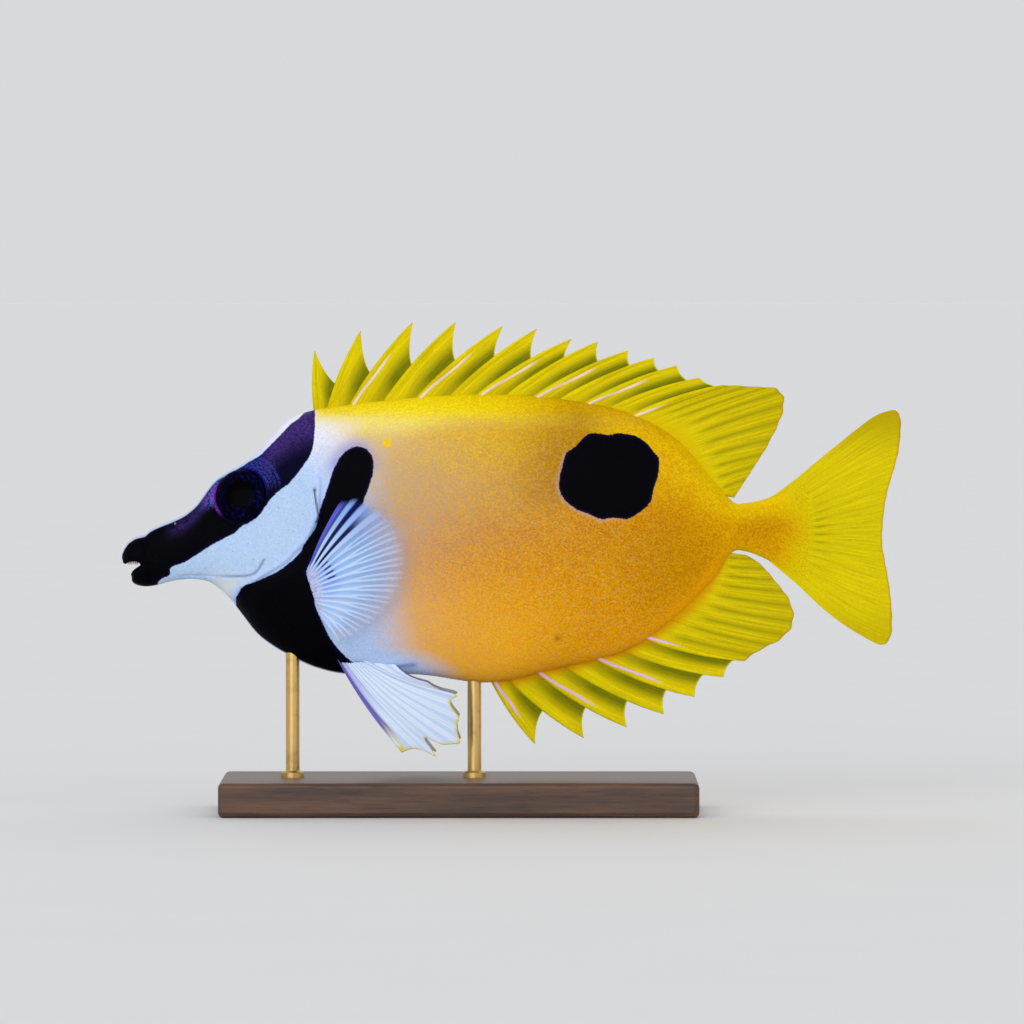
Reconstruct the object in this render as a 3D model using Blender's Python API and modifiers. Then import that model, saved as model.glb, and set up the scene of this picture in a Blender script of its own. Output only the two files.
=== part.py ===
"""A blotched foxface (rabbitfish) at life size, held over a plain display stand by two short rods.

The fish swims along -X with its back to +Z. Sizes are in millimetres: s is the distance behind the
snout tip, h the height above the floor and y the distance out from the fish's mid-plane, positive
towards the side that is being made.
"""

import math

import bmesh
import bpy
import numpy as np
from mathutils import Matrix, Vector
from mathutils.bvhtree import BVHTree

MM = 0.001
TOTAL_LENGTH = 180.0
GAP = 0.3

# Flesh sections from the snout tip to the tail base: top s, top h, bottom s, bottom h, half width.
FLESH_SECTIONS = (
    (0.0, 58.9, 0.1, 58.6, 0.3),
    (0.2, 59.9, 0.5, 57.0, 1.6),
    (0.7, 61.1, 1.3, 55.4, 2.5),
    (1.7, 62.5, 2.2, 53.9, 3.2),
    (3.1, 63.5, 3.3, 52.6, 3.7),
    (4.5, 63.9, 5.2, 52.1, 3.8),
    (5.5, 64.1, 7.0, 52.2, 3.5),
    (6.7, 65.2, 8.9, 52.6, 3.7),
    (8.9, 66.3, 11.2, 53.2, 4.0),
    (11.7, 67.4, 14.0, 53.7, 4.3),
    (14.9, 69.0, 16.7, 53.8, 4.8),
    (17.7, 71.4, 19.1, 53.5, 5.4),
    (20.0, 74.5, 20.9, 52.8, 6.0),
    (22.1, 76.9, 23.2, 51.1, 6.6),
    (25.1, 78.7, 25.5, 48.8, 7.2),
    (28.5, 80.8, 28.1, 45.3, 7.8),
    (32.0, 83.7, 31.3, 41.2, 8.4),
    (35.4, 87.6, 35.0, 38.3, 8.9),
    (38.7, 90.6, 38.9, 36.1, 9.4),
    (44.0, 92.7, 45.0, 33.3, 10.1),
    (52.8, 94.1, 52.8, 31.8, 10.8),
    (68.9, 95.8, 68.9, 31.7, 11.5),
    (85.1, 96.5, 85.1, 29.9, 11.3),
    (101.3, 95.4, 101.3, 33.3, 10.3),
    (116.3, 92.5, 116.3, 37.3, 8.6),
    (127.8, 86.7, 127.8, 45.0, 6.6),
    (136.4, 76.9, 136.4, 53.7, 4.9),
    (141.2, 71.7, 140.7, 59.7, 3.9),
    (144.2, 71.4, 144.0, 60.2, 3.5),
    (149.7, 73.1, 149.7, 58.0, 2.5),
    (158.1, 79.1, 158.1, 50.5, 1.2),
)
FLESH_STEP = 2.6
FLESH_AROUND = 32

# The gill cover's rear edge, carried up to the nape and down to the throat.
GILL_EDGE = ((43.8, 96.0), (44.0, 91.0), (45.6, 83.6), (46.1, 74.4), (45.6, 67.9), (43.1, 62.8),
             (37.8, 57.5), (31.5, 53.8), (27.6, 51.6), (25.9, 48.3), (24.8, 44.0))
GILL_STEP_DEPTH = 0.6
GILL_STEP_REACH = 7.0

# The tail base, where flesh ends and the tail fin's rays begin.
TAIL_ROOT = ((147.4, 75.0), (148.2, 72.3), (152.0, 69.9), (154.9, 67.0), (156.0, 64.6),
             (154.9, 61.6), (152.0, 59.4), (148.2, 57.9), (147.4, 55.5))
TORSO_END_S = 140.0

# The slabs that part the flesh reach well past it on every side.
CUT_FRONT_S, CUT_LOW_H, CUT_HIGH_H, CUT_HALF_DEPTH = -20.0, 20.0, 120.0, 40.0

EYE_CENTRE = (27.6, 73.3)
EYE_RADIUS = 5.35
EYE_HALF_DEPTH = 2.6
EYE_OUT = 5.7
EYE_TILT_UP = 15.0
EYE_TILT_FORWARD = 14.0
ORBIT_RIM_RADIUS = 5.85
ORBIT_RIM_THICK = 0.6
ORBIT_RIM_OUT = 0.35

MOUTH_GAPE = ((-3.0, 57.3), (1.0, 57.4), (2.9, 57.7), (4.3, 57.5), (7.2, 56.6), (7.2, 56.2),
              (4.4, 56.7), (3.1, 55.9), (2.2, 54.5), (1.2, 51.3), (-3.0, 50.0))
NOSTRILS = ((12.1, 66.0, 0.45), (15.0, 67.4, 0.6))
CHEEK_LINE = ((14.5, 54.6), (20.9, 54.5), (26.0, 54.6), (29.7, 54.9), (31.6, 56.0), (33.2, 58.6))

# Dorsal spines: root s, tip s, tip h. Each membrane meets the next spine this far up it.
DORSAL_SPINES = (
    (45.1, 44.7, 106.5), (47.9, 55.3, 111.1), (52.9, 67.3, 113.1), (60.7, 77.2, 113.1),
    (68.1, 88.1, 112.2), (75.9, 95.9, 111.5), (82.1, 104.0, 109.2), (88.8, 110.0, 108.5),
    (95.0, 117.0, 106.5), (101.0, 123.0, 104.8), (107.0, 128.3, 103.0), (112.6, 133.6, 100.2),
    (118.0, 139.0, 98.6),
)
DORSAL_NOTCH_FIRST, DORSAL_NOTCH_LAST = 0.32, 0.93
DORSAL_RAY_COUNT = 10
DORSAL_RAY_ROOTS = (122.6, 139.0)
DORSAL_MARGIN = ((142.0, 98.5), (147.9, 98.1), (151.3, 97.4), (153.0, 94.6), (152.1, 89.4),
                 (149.7, 84.7), (146.6, 79.6), (144.2, 75.6), (142.0, 73.4))

# Anal spines, the same way, and the rounded soft part behind them.
ANAL_SPINES = (
    (85.9, 95.5, 15.7), (89.6, 106.8, 17.1), (95.9, 116.7, 19.6), (102.3, 125.3, 22.6),
    (109.3, 132.4, 26.6), (115.7, 139.1, 31.2), (121.0, 144.0, 34.9),
)
ANAL_NOTCH_FIRST, ANAL_NOTCH_LAST = 0.5, 0.9
ANAL_RAY_COUNT = 9
ANAL_RAY_ROOTS = (124.3, 139.5)
ANAL_MARGIN = ((147.3, 36.9), (150.9, 38.8), (153.6, 41.0), (154.9, 44.4), (155.2, 47.6),
               (153.2, 51.7), (150.6, 54.8), (147.9, 57.2), (144.6, 58.8))

SPINE_HALF_ROOT, SPINE_HALF_TIP = 0.75, 0.22
RAY_HALF_ROOT, RAY_HALF_TIP = 0.6, 0.32
MEMBRANE_HALF = 0.25
FAN_RAY_EDGE = 0.26
SHEATH_HALF, SHEATH_REACH = 0.45, 0.1
SPINE_BOW = 0.035
MEMBRANE_HOLLOW = 0.12

# Tail fin: upper edge, rear margin and lower edge.
TAIL_UPPER_EDGE = ((148.3, 73.0), (156.7, 78.1), (165.9, 85.4), (172.9, 90.3), (178.4, 92.7))
TAIL_LOWER_EDGE = ((148.3, 57.2), (156.7, 51.8), (163.5, 44.9), (170.5, 40.1), (176.0, 38.4))
TAIL_MARGIN = ((178.4, 92.7), (179.6, 90.8), (180.0, 88.2), (179.3, 83.0), (177.2, 74.4), (176.0, 67.0),
               (175.7, 61.7), (176.7, 55.5), (177.8, 48.5), (178.0, 42.5), (176.0, 38.4))
TAIL_RAY_COUNT = 17
TAIL_RIB_HALF = 0.58
TAIL_FLESH_REACH, TAIL_FLESH_GROOVE = 0.16, 0.82

# Side fins: roots and tips seen from the side, with how far they stand out from the flank.
PECTORAL_ROOT = ((42.9, 55.2), (44.0, 51.6), (45.8, 46.2))
PECTORAL_TIPS = ((51.1, 72.5), (55.5, 73.0), (60.6, 70.3), (64.4, 66.0), (66.3, 60.8), (66.2, 55.6),
                 (64.6, 51.0), (61.4, 46.8), (57.6, 43.2), (53.6, 40.6), (49.9, 39.4))
PECTORAL_RAY_COUNT = 13
PECTORAL_SPREAD = 20.0
PECTORAL_BACK_SPREAD = 6.0
PECTORAL_BASE_HALF = 1.5
PECTORAL_RIB_HALF = 0.55
PECTORAL_SUNK = 0.9
PECTORAL_CUP = 0.6
SIDE_BASE_REACH = 0.08

PELVIC_RAYS = (
    ((49.9, 31.8), (64.8, 14.1), 0.75), ((50.6, 32.0), (68.6, 14.9), 0.25),
    ((51.2, 32.2), (72.6, 13.4), 0.6), ((51.6, 32.3), (70.1, 17.4), 0.25),
    ((52.0, 32.4), (74.2, 16.0), 0.25), ((52.4, 32.5), (78.2, 16.4), 0.6),
    ((52.8, 32.6), (77.6, 19.4), 0.25), ((53.2, 32.7), (78.0, 22.2), 0.6),
    ((53.6, 32.8), (76.0, 25.5), 0.25), ((54.0, 32.9), (77.5, 27.3), 0.65),
    ((57.5, 32.4), (73.4, 28.6), 0.25), ((62.0, 32.2), (70.6, 30.2), 0.25),
)
PELVIC_RIB_EDGE = 0.4
PELVIC_BASE_HALF = 0.8
PELVIC_OUT = 2.6
PELVIC_SPREAD = 14.0
PELVIC_SUNK = 3.2

STAND_BASE = (110.0, 50.0, 8.0)
STAND_BASE_S = 78.0
STAND_EDGE = 1.2
ROD_RADIUS = 1.6
ROD_BLANK = 36.0
ROD_FRONT_S = 39.5
ROD_REAR_S = 81.5


def row_point(s, h, y=0.0):
    """A point in the row frame, in metres, from the fish's own millimetres."""
    return Vector(((s - TOTAL_LENGTH / 2) * MM, y * MM, h * MM))


def catmull_rom(points, t):
    """The point at t, from 0 to 1, on a smooth curve through every given point."""
    points = np.asarray(points, float)
    last = len(points) - 1
    place = min(max(t, 0.0), 1.0) * last
    i = min(int(place), last - 1)
    u = place - i
    before = points[i - 1] if i > 0 else 2 * points[0] - points[1]
    after = points[i + 2] if i + 2 <= last else 2 * points[last] - points[last - 1]
    start, end = points[i], points[i + 1]
    return 0.5 * (2 * start + (end - before) * u
                  + (2 * before - 5 * start + 4 * end - after) * u * u
                  + (3 * start - before - 3 * end + after) * u ** 3)


def smooth_curve(points, count):
    """Evenly numbered points along the smooth curve through the given ones."""
    return [catmull_rom(points, k / (count - 1)) for k in range(count)]


def smoothstep(low, high, value):
    t = min(max((value - low) / (high - low), 0.0), 1.0)
    return t * t * (3 - 2 * t)


def material(name, colour, roughness, metallic=0.0):
    made = bpy.data.materials.new(name)
    made.use_nodes = True
    shader = made.node_tree.nodes["Principled BSDF"]
    shader.inputs["Base Color"].default_value = (*colour, 1.0)
    shader.inputs["Roughness"].default_value = roughness
    shader.inputs["Metallic"].default_value = metallic
    return made


def collection(name, hidden=False):
    made = bpy.data.collections.new(name)
    made.hide_render = hidden
    bpy.context.scene.collection.children.link(made)
    return made


def mesh_object(name, bm, where, finish=None):
    """A smooth-shaded object from a bmesh, with its normals facing out."""
    bmesh.ops.recalc_face_normals(bm, faces=bm.faces)
    mesh = bpy.data.meshes.new(name)
    bm.to_mesh(mesh)
    bm.free()
    mesh.shade_smooth()
    if finish:
        mesh.materials.append(finish)
    made = bpy.data.objects.new(name, mesh)
    where.objects.link(made)
    return made


def apply_modifiers(obj):
    """Replaces the object's mesh by its evaluated one."""
    bpy.context.view_layer.update()
    evaluated = obj.evaluated_get(bpy.context.evaluated_depsgraph_get())
    made = bpy.data.meshes.new_from_object(evaluated)
    obj.modifiers.clear()
    obj.data = made


def boolean(obj, others, operation):
    """One Boolean of obj with a collection of closed objects, applied; those objects are removed."""
    pieces = collection(obj.name + "_pieces", hidden=True)
    for other in others:
        for home in other.users_collection:
            home.objects.unlink(other)
        pieces.objects.link(other)
    modifier = obj.modifiers.new(operation.lower(), "BOOLEAN")
    modifier.operation = operation
    modifier.operand_type = "COLLECTION"
    modifier.collection = pieces
    modifier.solver = "EXACT"
    apply_modifiers(obj)
    for other in others:
        bpy.data.objects.remove(other)
    bpy.data.collections.remove(pieces)


def keep_largest(obj):
    """Drops every closed surface but the largest."""
    bm = bmesh.new()
    bm.from_mesh(obj.data)
    left = set(bm.faces)
    islands = []
    while left:
        island, edge = set(), [left.pop()]
        while edge:
            face = edge.pop()
            island.add(face)
            for side in face.edges:
                for other in side.link_faces:
                    if other in left:
                        left.discard(other)
                        edge.append(other)
        islands.append(island)
    islands.sort(key=lambda island: sum(face.calc_area() for face in island))
    for island in islands[:-1]:
        bmesh.ops.delete(bm, geom=list(island), context="FACES")
    bm.to_mesh(obj.data)
    bm.free()


def prism(name, outline, half_depth, where):
    """A closed slab whose outline is given in s and h, reaching half_depth to both sides."""
    flat = bpy.data.curves.new(name, "CURVE")
    flat.dimensions = "2D"
    flat.fill_mode = "BOTH"
    flat.extrude = half_depth * MM
    line = flat.splines.new("POLY")
    line.points.add(len(outline) - 1)
    line.use_cyclic_u = True
    for point, (s, h) in zip(line.points, outline):
        spot = row_point(s, h)
        point.co = (spot.x, spot.z, 0.0, 1.0)
    guide = bpy.data.objects.new(name + "_outline", flat)
    guide.matrix_world = Matrix.Rotation(math.radians(90), 4, "X")
    where.objects.link(guide)
    bpy.context.view_layer.update()
    bm = bmesh.new()
    bm.from_mesh(bpy.data.meshes.new_from_object(
        guide.evaluated_get(bpy.context.evaluated_depsgraph_get())))
    bm.transform(guide.matrix_world)
    bmesh.ops.remove_doubles(bm, verts=bm.verts, dist=0.01 * MM)
    bpy.data.objects.remove(guide)
    return mesh_object(name, bm, where)


def section_fullness(s):
    """Exponents of the section's upper and lower half: a flat-sided forehead and a keeled chest."""
    upper = 0.62 + 0.36 * smoothstep(30.0, 62.0, s)
    lower = 0.85 + 0.4 * smoothstep(18.0, 34.0, s) * (1 - smoothstep(60.0, 90.0, s))
    return upper, lower


def section_ring(section, around, grow=0.0, stepped=False):
    """Points (s, h, y) round one section, from the back down one side and up the other."""
    top, bottom, half = np.array(section[:2]), np.array(section[2:4]), section[4] + grow
    down = (bottom - top) / np.linalg.norm(bottom - top)
    top, bottom = top - down * grow, bottom + down * grow
    widest = 0.52 - 0.06 * smoothstep(20.0, 60.0, top[0])
    upper, lower = section_fullness(top[0])
    ring = []
    for k in range(around):
        angle = 2 * math.pi * k / around
        cosine, sine = math.cos(angle), math.sin(angle)
        if cosine >= 0:
            share, width = widest * (1 - cosine), abs(sine) ** upper
        else:
            share, width = widest - (1 - widest) * cosine, abs(sine) ** lower
        s, h = top + (bottom - top) * share
        y = half * width
        if stepped:
            y -= min(gill_step(s, h), 0.8 * y)
        ring.append((s, h, math.copysign(y, sine)))
    return ring


def gill_edge_s(h):
    """Where the gill cover ends at a height."""
    heights = [point[1] for point in GILL_EDGE][::-1]
    return float(np.interp(h, heights, [point[0] for point in GILL_EDGE][::-1]))


def gill_step(s, h):
    """How far the trunk lies inside the gill cover's surface just behind its edge."""
    behind = s - gill_edge_s(h)
    level = smoothstep(44.0, 52.0, h) * (1 - smoothstep(72.0, 82.0, h))
    return GILL_STEP_DEPTH * level * (1 - smoothstep(0.5, GILL_STEP_REACH, behind))


def flesh_rows(step):
    """Sections along the whole fish, about one step apart."""
    rows, last = [], len(FLESH_SECTIONS) - 1
    for i in range(last):
        here, after = np.array(FLESH_SECTIONS[i]), np.array(FLESH_SECTIONS[i + 1])
        apart = np.linalg.norm((here[:2] + here[2:4] - after[:2] - after[2:4]) / 2)
        parts = max(1, round(apart / step))
        rows += [catmull_rom(FLESH_SECTIONS, (i + k / parts) / last) for k in range(parts)]
    return rows + [np.array(FLESH_SECTIONS[last])]


def flesh_bmesh(grow=0.0, stepped=False):
    """The fish without its fins, as one closed loft over all sections."""
    bm = bmesh.new()
    rings = [[bm.verts.new(row_point(*point)) for point in section_ring(row, FLESH_AROUND, grow, stepped)]
             for row in flesh_rows(FLESH_STEP)]
    for ring, after in zip(rings, rings[1:]):
        for k in range(FLESH_AROUND):
            j = (k + 1) % FLESH_AROUND
            bm.faces.new((ring[k], ring[j], after[j], after[k]))
    bm.faces.new(rings[0][::-1])
    bm.faces.new(rings[-1])
    bmesh.ops.triangulate(bm, faces=bm.faces)
    return bm


def flesh(name, where, grow=0.0, stepped=False, finish=None):
    return mesh_object(name, flesh_bmesh(grow, stepped), where, finish)


def contour(side):
    """The flesh's back (side 0) or belly (side 1) line as arrays of s and h."""
    rows = flesh_rows(FLESH_STEP)
    line = np.array([row[2 * side:2 * side + 2] for row in rows])
    return line[:, 0], line[:, 1]


def shifted(curve, distance):
    """A polyline moved sideways along s."""
    return [(s + distance, h) for s, h in curve]


def region(edge, other_s):
    """The outline of a slab between a curved edge, given from top to bottom, and a far straight side."""
    return ([tuple(point) for point in edge] + [(edge[-1][0], CUT_LOW_H), (other_s, CUT_LOW_H),
            (other_s, CUT_HIGH_H), (edge[0][0], CUT_HIGH_H)])


def head_region():
    return region(smooth_curve(GILL_EDGE, 31), CUT_FRONT_S)


def torso_region():
    return region(shifted(smooth_curve(GILL_EDGE, 31), GAP), TORSO_END_S)


def tail_base_region():
    return region(smooth_curve(TAIL_ROOT, 25), TORSO_END_S + GAP)


def eye_matrix(side, out):
    """Places a piece on the eye's axis; side is -1 for the fish's left and 1 for its right."""
    axis = Vector((-math.tan(math.radians(EYE_TILT_FORWARD)), side, math.tan(math.radians(EYE_TILT_UP))))
    axis.normalize()
    spot = row_point(*EYE_CENTRE, side * EYE_OUT) + axis * out * MM
    return Matrix.Translation(spot) @ axis.to_track_quat("Z", "Y").to_matrix().to_4x4()


def eyeball(name, side, where, grow=0.0, finish=None):
    bpy.ops.mesh.primitive_uv_sphere_add(segments=22, ring_count=8, radius=1.0)
    made = adopt(name, where, finish)
    radius = (EYE_RADIUS + grow) * MM
    made.data.transform(Matrix.Diagonal((radius, radius, (EYE_HALF_DEPTH + grow) * MM, 1.0)))
    made.matrix_world = eye_matrix(side, 0.0)
    return made


def adopt(name, where, finish=None):
    """Names the object that an operator just made and puts it in its collection."""
    made = bpy.context.object
    made.name = made.data.name = name
    for home in made.users_collection:
        home.objects.unlink(made)
    where.objects.link(made)
    made.data.shade_smooth()
    if finish:
        made.data.materials.append(finish)
    return made


def orbit_rim(side, where):
    bpy.ops.mesh.primitive_torus_add(major_radius=ORBIT_RIM_RADIUS * MM, minor_radius=ORBIT_RIM_THICK * MM,
                                     major_segments=24, minor_segments=6)
    made = adopt("orbit_rim", where)
    made.matrix_world = eye_matrix(side, ORBIT_RIM_OUT)
    return made


def flank_finder():
    """A function giving how far the flesh reaches out from the mid-plane at a point seen from the side."""
    tree = BVHTree.FromBMesh(flesh_bmesh())

    def flank_y(s, h):
        spot = tree.ray_cast(row_point(s, h, 50.0), Vector((0.0, -1.0, 0.0)))[0]
        return spot.y / MM if spot else 0.0

    return flank_y


def nostril(s, h, radius, side, flank_y, where):
    bpy.ops.mesh.primitive_uv_sphere_add(segments=10, ring_count=6, radius=radius * MM,
                                         location=row_point(s, h, side * flank_y(s, h)))
    made = adopt("nostril", where)
    made.scale = (1.4, 1.2, 1.0)
    return made


def cheek_groove(side, flank_y, where):
    """A fine sunk line along the lower edge of the cheek bone."""
    line = bpy.data.curves.new("cheek_groove", "CURVE")
    line.dimensions = "3D"
    line.bevel_depth = 0.32 * MM
    line.bevel_resolution = 1
    line.use_fill_caps = True
    spline = line.splines.new("POLY")
    path = smooth_curve(CHEEK_LINE, 14)
    spline.points.add(len(path) - 1)
    for point, (s, h) in zip(spline.points, path):
        point.co = (*row_point(s, h, side * (flank_y(s, h) + 0.05)), 1.0)
    guide = bpy.data.objects.new("cheek_line", line)
    where.objects.link(guide)
    bpy.context.view_layer.update()
    bm = bmesh.new()
    bm.from_mesh(bpy.data.meshes.new_from_object(
        guide.evaluated_get(bpy.context.evaluated_depsgraph_get())))
    bmesh.ops.remove_doubles(bm, verts=bm.verts, dist=0.01 * MM)
    bpy.data.objects.remove(guide)
    return mesh_object("cheek_groove", bm, where)


def make_head(flank_y, where, cutters, finish):
    head = flesh("head", where, finish=finish)
    boolean(head, [prism("head_region", head_region(), CUT_HALF_DEPTH, cutters)], "INTERSECT")
    boolean(head, [orbit_rim(side, cutters) for side in (-1, 1)], "UNION")
    holes = [eyeball("socket", side, cutters, grow=GAP) for side in (-1, 1)]
    holes += [nostril(*place, side, flank_y, cutters) for place in NOSTRILS for side in (-1, 1)]
    holes += [cheek_groove(side, flank_y, cutters) for side in (-1, 1)]
    holes.append(prism("gape", MOUTH_GAPE, CUT_HALF_DEPTH, cutters))
    boolean(head, holes, "DIFFERENCE")
    keep_largest(head)


def make_trunk(where, cutters, finish, tail_finish):
    torso = flesh("torso", where, stepped=True, finish=finish)
    boolean(torso, [prism("torso_region", torso_region(), CUT_HALF_DEPTH, cutters)], "INTERSECT")
    keep_largest(torso)
    tail_base = flesh("tail_base", where, finish=tail_finish)
    boolean(tail_base, [prism("tail_base_region", tail_base_region(), CUT_HALF_DEPTH, cutters)],
            "INTERSECT")
    keep_largest(tail_base)


def sheet_solid(name, columns, where, finish):
    """A thin closed solid from columns of (s, h, y, half thickness), split alike on both faces."""
    rows = len(columns[0])
    bm = bmesh.new()
    grid = [[bm.verts.new(row_point(*point[:3])) for point in column] for column in columns]
    for left, right in zip(grid, grid[1:]):
        for k in range(rows - 1):
            bm.faces.new((left[k], left[k + 1], right[k + 1], right[k]))
    bmesh.ops.triangulate(bm, faces=bm.faces)
    thickness = [point[3] for column in columns for point in column]
    made = mesh_object(name, bm, where, finish)
    thickest = max(thickness)
    group = made.vertex_groups.new(name="half_thickness")
    for index, half in enumerate(thickness):
        group.add([index], half / thickest, "REPLACE")
    solid = made.modifiers.new("thickness", "SOLIDIFY")
    solid.thickness = 2 * thickest * MM
    solid.offset = 0.0
    solid.use_even_offset = False
    solid.vertex_group = group.name
    return made


def membrane_half(t):
    """The skin between two rays, thicker in the sheath at its root."""
    return MEMBRANE_HALF + SHEATH_HALF * math.exp(-t / SHEATH_REACH)


class Ray:
    """One spine or ray in the fish's mid-plane, bowed a little towards its leading side."""

    def __init__(self, body_side, root_s, tip, half_root, half_tip):
        self.body_side = body_side
        self.root, self.tip = root_point(body_side, root_s), np.array(tip, float)
        along = self.tip - self.root
        self.length = np.linalg.norm(along)
        self.side = np.array((-along[1], along[0])) / self.length * (1 if body_side == 0 else -1)
        self.half_root, self.half_tip = half_root, half_tip

    def at(self, t, across=0.0):
        """The point a share t up the ray, moved across it by a share of its half width."""
        spot = self.root + (self.tip - self.root) * t + self.side * SPINE_BOW * self.length * 4 * t * (1 - t)
        return spot + self.side * across * self.half(t)

    def half(self, t):
        return self.half_root + (self.half_tip - self.half_root) * t

    def column(self, rows, across=0.0, reach=1.0):
        """A column of the sheet on the crest of the ray (across 0) or along one of its edges."""
        made = []
        root = nearest_root(self.body_side, self.at(0.0, across)) if across else self.root
        for k in range(rows):
            t = k / (rows - 1)
            spot = self.at(t * reach, across)
            spot = spot + (root - self.at(0.0, across)) * (1 - t) ** 2
            edge = membrane_half(t)
            half = edge if across else max(self.half(t), edge)
            made.append((spot[0], spot[1], 0.0, half))
        return made


def straight_column(root, tip, rows, bow=(0.0, 0.0)):
    """A column of membrane between two points, bowed like its neighbours."""
    root, tip, bow = np.array(root), np.array(tip), np.array(bow)
    made = []
    for k in range(rows):
        t = k / (rows - 1)
        spot = root + (tip - root) * t + bow * 4 * t * (1 - t)
        made.append((spot[0], spot[1], 0.0, membrane_half(t)))
    return made


def root_point(side, s):
    """A fin root on the back (side 0) or belly (side 1), a gap clear of the flesh."""
    line_s, line_h = contour(side)
    step = 0.3
    h = float(np.interp(s, line_s, line_h))
    rise = float(np.interp(s + step, line_s, line_h) - np.interp(s - step, line_s, line_h))
    normal = np.array((-rise, 2 * step)) / math.hypot(rise, 2 * step)
    return np.array((s, h)) + normal * (GAP + 0.05) * (1 if side == 0 else -1)


def nearest_root(side, spot):
    """The point of a fin's root line that lies nearest to a spot."""
    line_s, line_h = contour(side)
    near = np.arange(spot[0] - 4.0, spot[0] + 4.0, 0.05)
    away = np.hypot(near - spot[0], np.interp(near, line_s, line_h) - spot[1])
    return root_point(side, float(near[int(np.argmin(away))]))


def spiny_columns(side, spines, notch_first, notch_last, rows):
    """Spines with a hollow-edged membrane from each tip to part way up the next spine."""
    rays = [Ray(side, s, tip, SPINE_HALF_ROOT, SPINE_HALF_TIP) for s, *tip in spines]
    columns = []
    for i, ray in enumerate(rays):
        if i:
            before = rays[i - 1]
            reach = notch_first + (notch_last - notch_first) * (i - 1) / (len(rays) - 2)
            notch = ray.at(reach, 1.0)
            middle = (before.tip + notch) / 2
            inward = (before.root + ray.root) / 2 - middle
            depth = MEMBRANE_HOLLOW * np.linalg.norm(before.tip - notch)
            hollow = middle + inward / np.linalg.norm(inward) * depth
            foot = root_point(side, (spines[i - 1][0] + spines[i][0]) / 2)
            bow = ray.side * SPINE_BOW * ray.length
            columns.append(straight_column(foot, hollow, rows, bow))
            columns.append(ray.column(rows, across=1.0, reach=reach))
        else:
            columns.append(ray.column(rows, across=1.0))
        columns.append(ray.column(rows))
        columns.append(ray.column(rows, across=-1.0))
    return columns, rays[-1]


def soft_columns(side, count, root_range, margin, rows):
    """Soft rays fanned between a straight root and a rounded margin, with sunk membrane between."""
    columns = []
    for i in range(count):
        share = i / (count - 1)
        root_s = root_range[0] + (root_range[1] - root_range[0]) * share
        ray = Ray(side, root_s, catmull_rom(margin, share), RAY_HALF_ROOT, RAY_HALF_TIP)
        if i:
            between = (i - 0.5) / (count - 1)
            foot = root_point(side, root_range[0] + (root_range[1] - root_range[0]) * between)
            bow = ray.side * SPINE_BOW * ray.length
            columns.append(straight_column(foot, catmull_rom(margin, between), rows, bow))
        columns.append(ray.column(rows, across=1.0))
        columns.append(ray.column(rows))
        columns.append(ray.column(rows, across=-1.0))
    return columns


def joint_column(side, last_spine, next_root_s, next_tip, rows, shift):
    """The membrane line where the spiny and the soft part of a fin meet, moved by half the gap."""
    foot_s = (last_spine.root[0] + next_root_s) / 2 + shift
    tip = (last_spine.tip + np.array(next_tip)) / 2 + np.array((shift, 0.0))
    bow = last_spine.side * SPINE_BOW * last_spine.length
    return straight_column(root_point(side, foot_s), tip, rows, bow)


def median_fin(name, side, spines, notches, soft, where, finish):
    """A dorsal or anal fin as two nodes: its spines and its soft rays."""
    count, root_range, margin = soft
    spiny, last_spine = spiny_columns(side, spines, *notches, rows=8)
    half_gap = GAP * 0.6
    spiny.append(joint_column(side, last_spine, root_range[0], margin[0], 8, -half_gap))
    sheet_solid(name + "_spines", spiny, where, finish)
    rayed = [joint_column(side, last_spine, root_range[0], margin[0], 7, half_gap)]
    rayed += soft_columns(side, count, root_range, margin, rows=7)
    sheet_solid(name + "_rays", rayed, where, finish)


def fan_shares(count):
    """Where a fan's columns lie across it, from 0 to 1, and which are crests: each ray has two edges."""
    shares = []
    for i in range(count):
        for offset in (-FAN_RAY_EDGE, 0.0, FAN_RAY_EDGE):
            share = (i + offset) / (count - 1)
            if 0.0 <= share <= 1.0:
                shares.append((share, offset == 0.0))
    return shares


def make_tail_fin(flank_y, where, finish):
    """The tail fin, as thick at its root as the flesh that it continues, ribbed along its rays."""
    rows, columns = 8, []
    root_curve = shifted(smooth_curve(TAIL_ROOT[1:-1], 41), GAP)
    upper = smooth_curve(TAIL_UPPER_EDGE, rows)
    lower = smooth_curve(TAIL_LOWER_EDGE, rows)
    for v, crest in fan_shares(TAIL_RAY_COUNT):
        root, tip = catmull_rom(root_curve, v), catmull_rom(TAIL_MARGIN, v)
        root_half = max(flank_y(*root), RAY_HALF_TIP)
        column = []
        for k in range(rows):
            t = k / (rows - 1)
            spot = root + (tip - root) * t
            for edge, near in ((upper, 1 - v), (lower, v)):
                chord = edge[0] + (edge[-1] - edge[0]) * t
                spot = spot + (edge[k] - chord) * smoothstep(0.72, 1.0, near)
            rib = (TAIL_RIB_HALF if crest else MEMBRANE_HALF) * (1 - 0.3 * t)
            fleshy = root_half * math.exp(-t / TAIL_FLESH_REACH) * (1.0 if crest else TAIL_FLESH_GROOVE)
            column.append((spot[0], spot[1], 0.0, max(rib, fleshy, MEMBRANE_HALF)))
        columns.append(column)
    sheet_solid("tail_fin", columns, where, finish)


def side_sheet(name, side, columns, clear, where, finish):
    """A paired fin: made flat, bent out to one side alike on both faces, its root cut clear of the flesh."""
    made = sheet_solid(name, [[(s, h, 0.0, half) for s, h, y, half in column] for column in columns],
                       where, finish)
    apply_modifiers(made)
    out = [side * y * MM for column in columns for s, h, y, half in column]
    for index, vertex in enumerate(made.data.vertices):
        vertex.co.y += out[index % len(out)]
    boolean(made, [clear], "DIFFERENCE")
    keep_largest(made)


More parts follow.
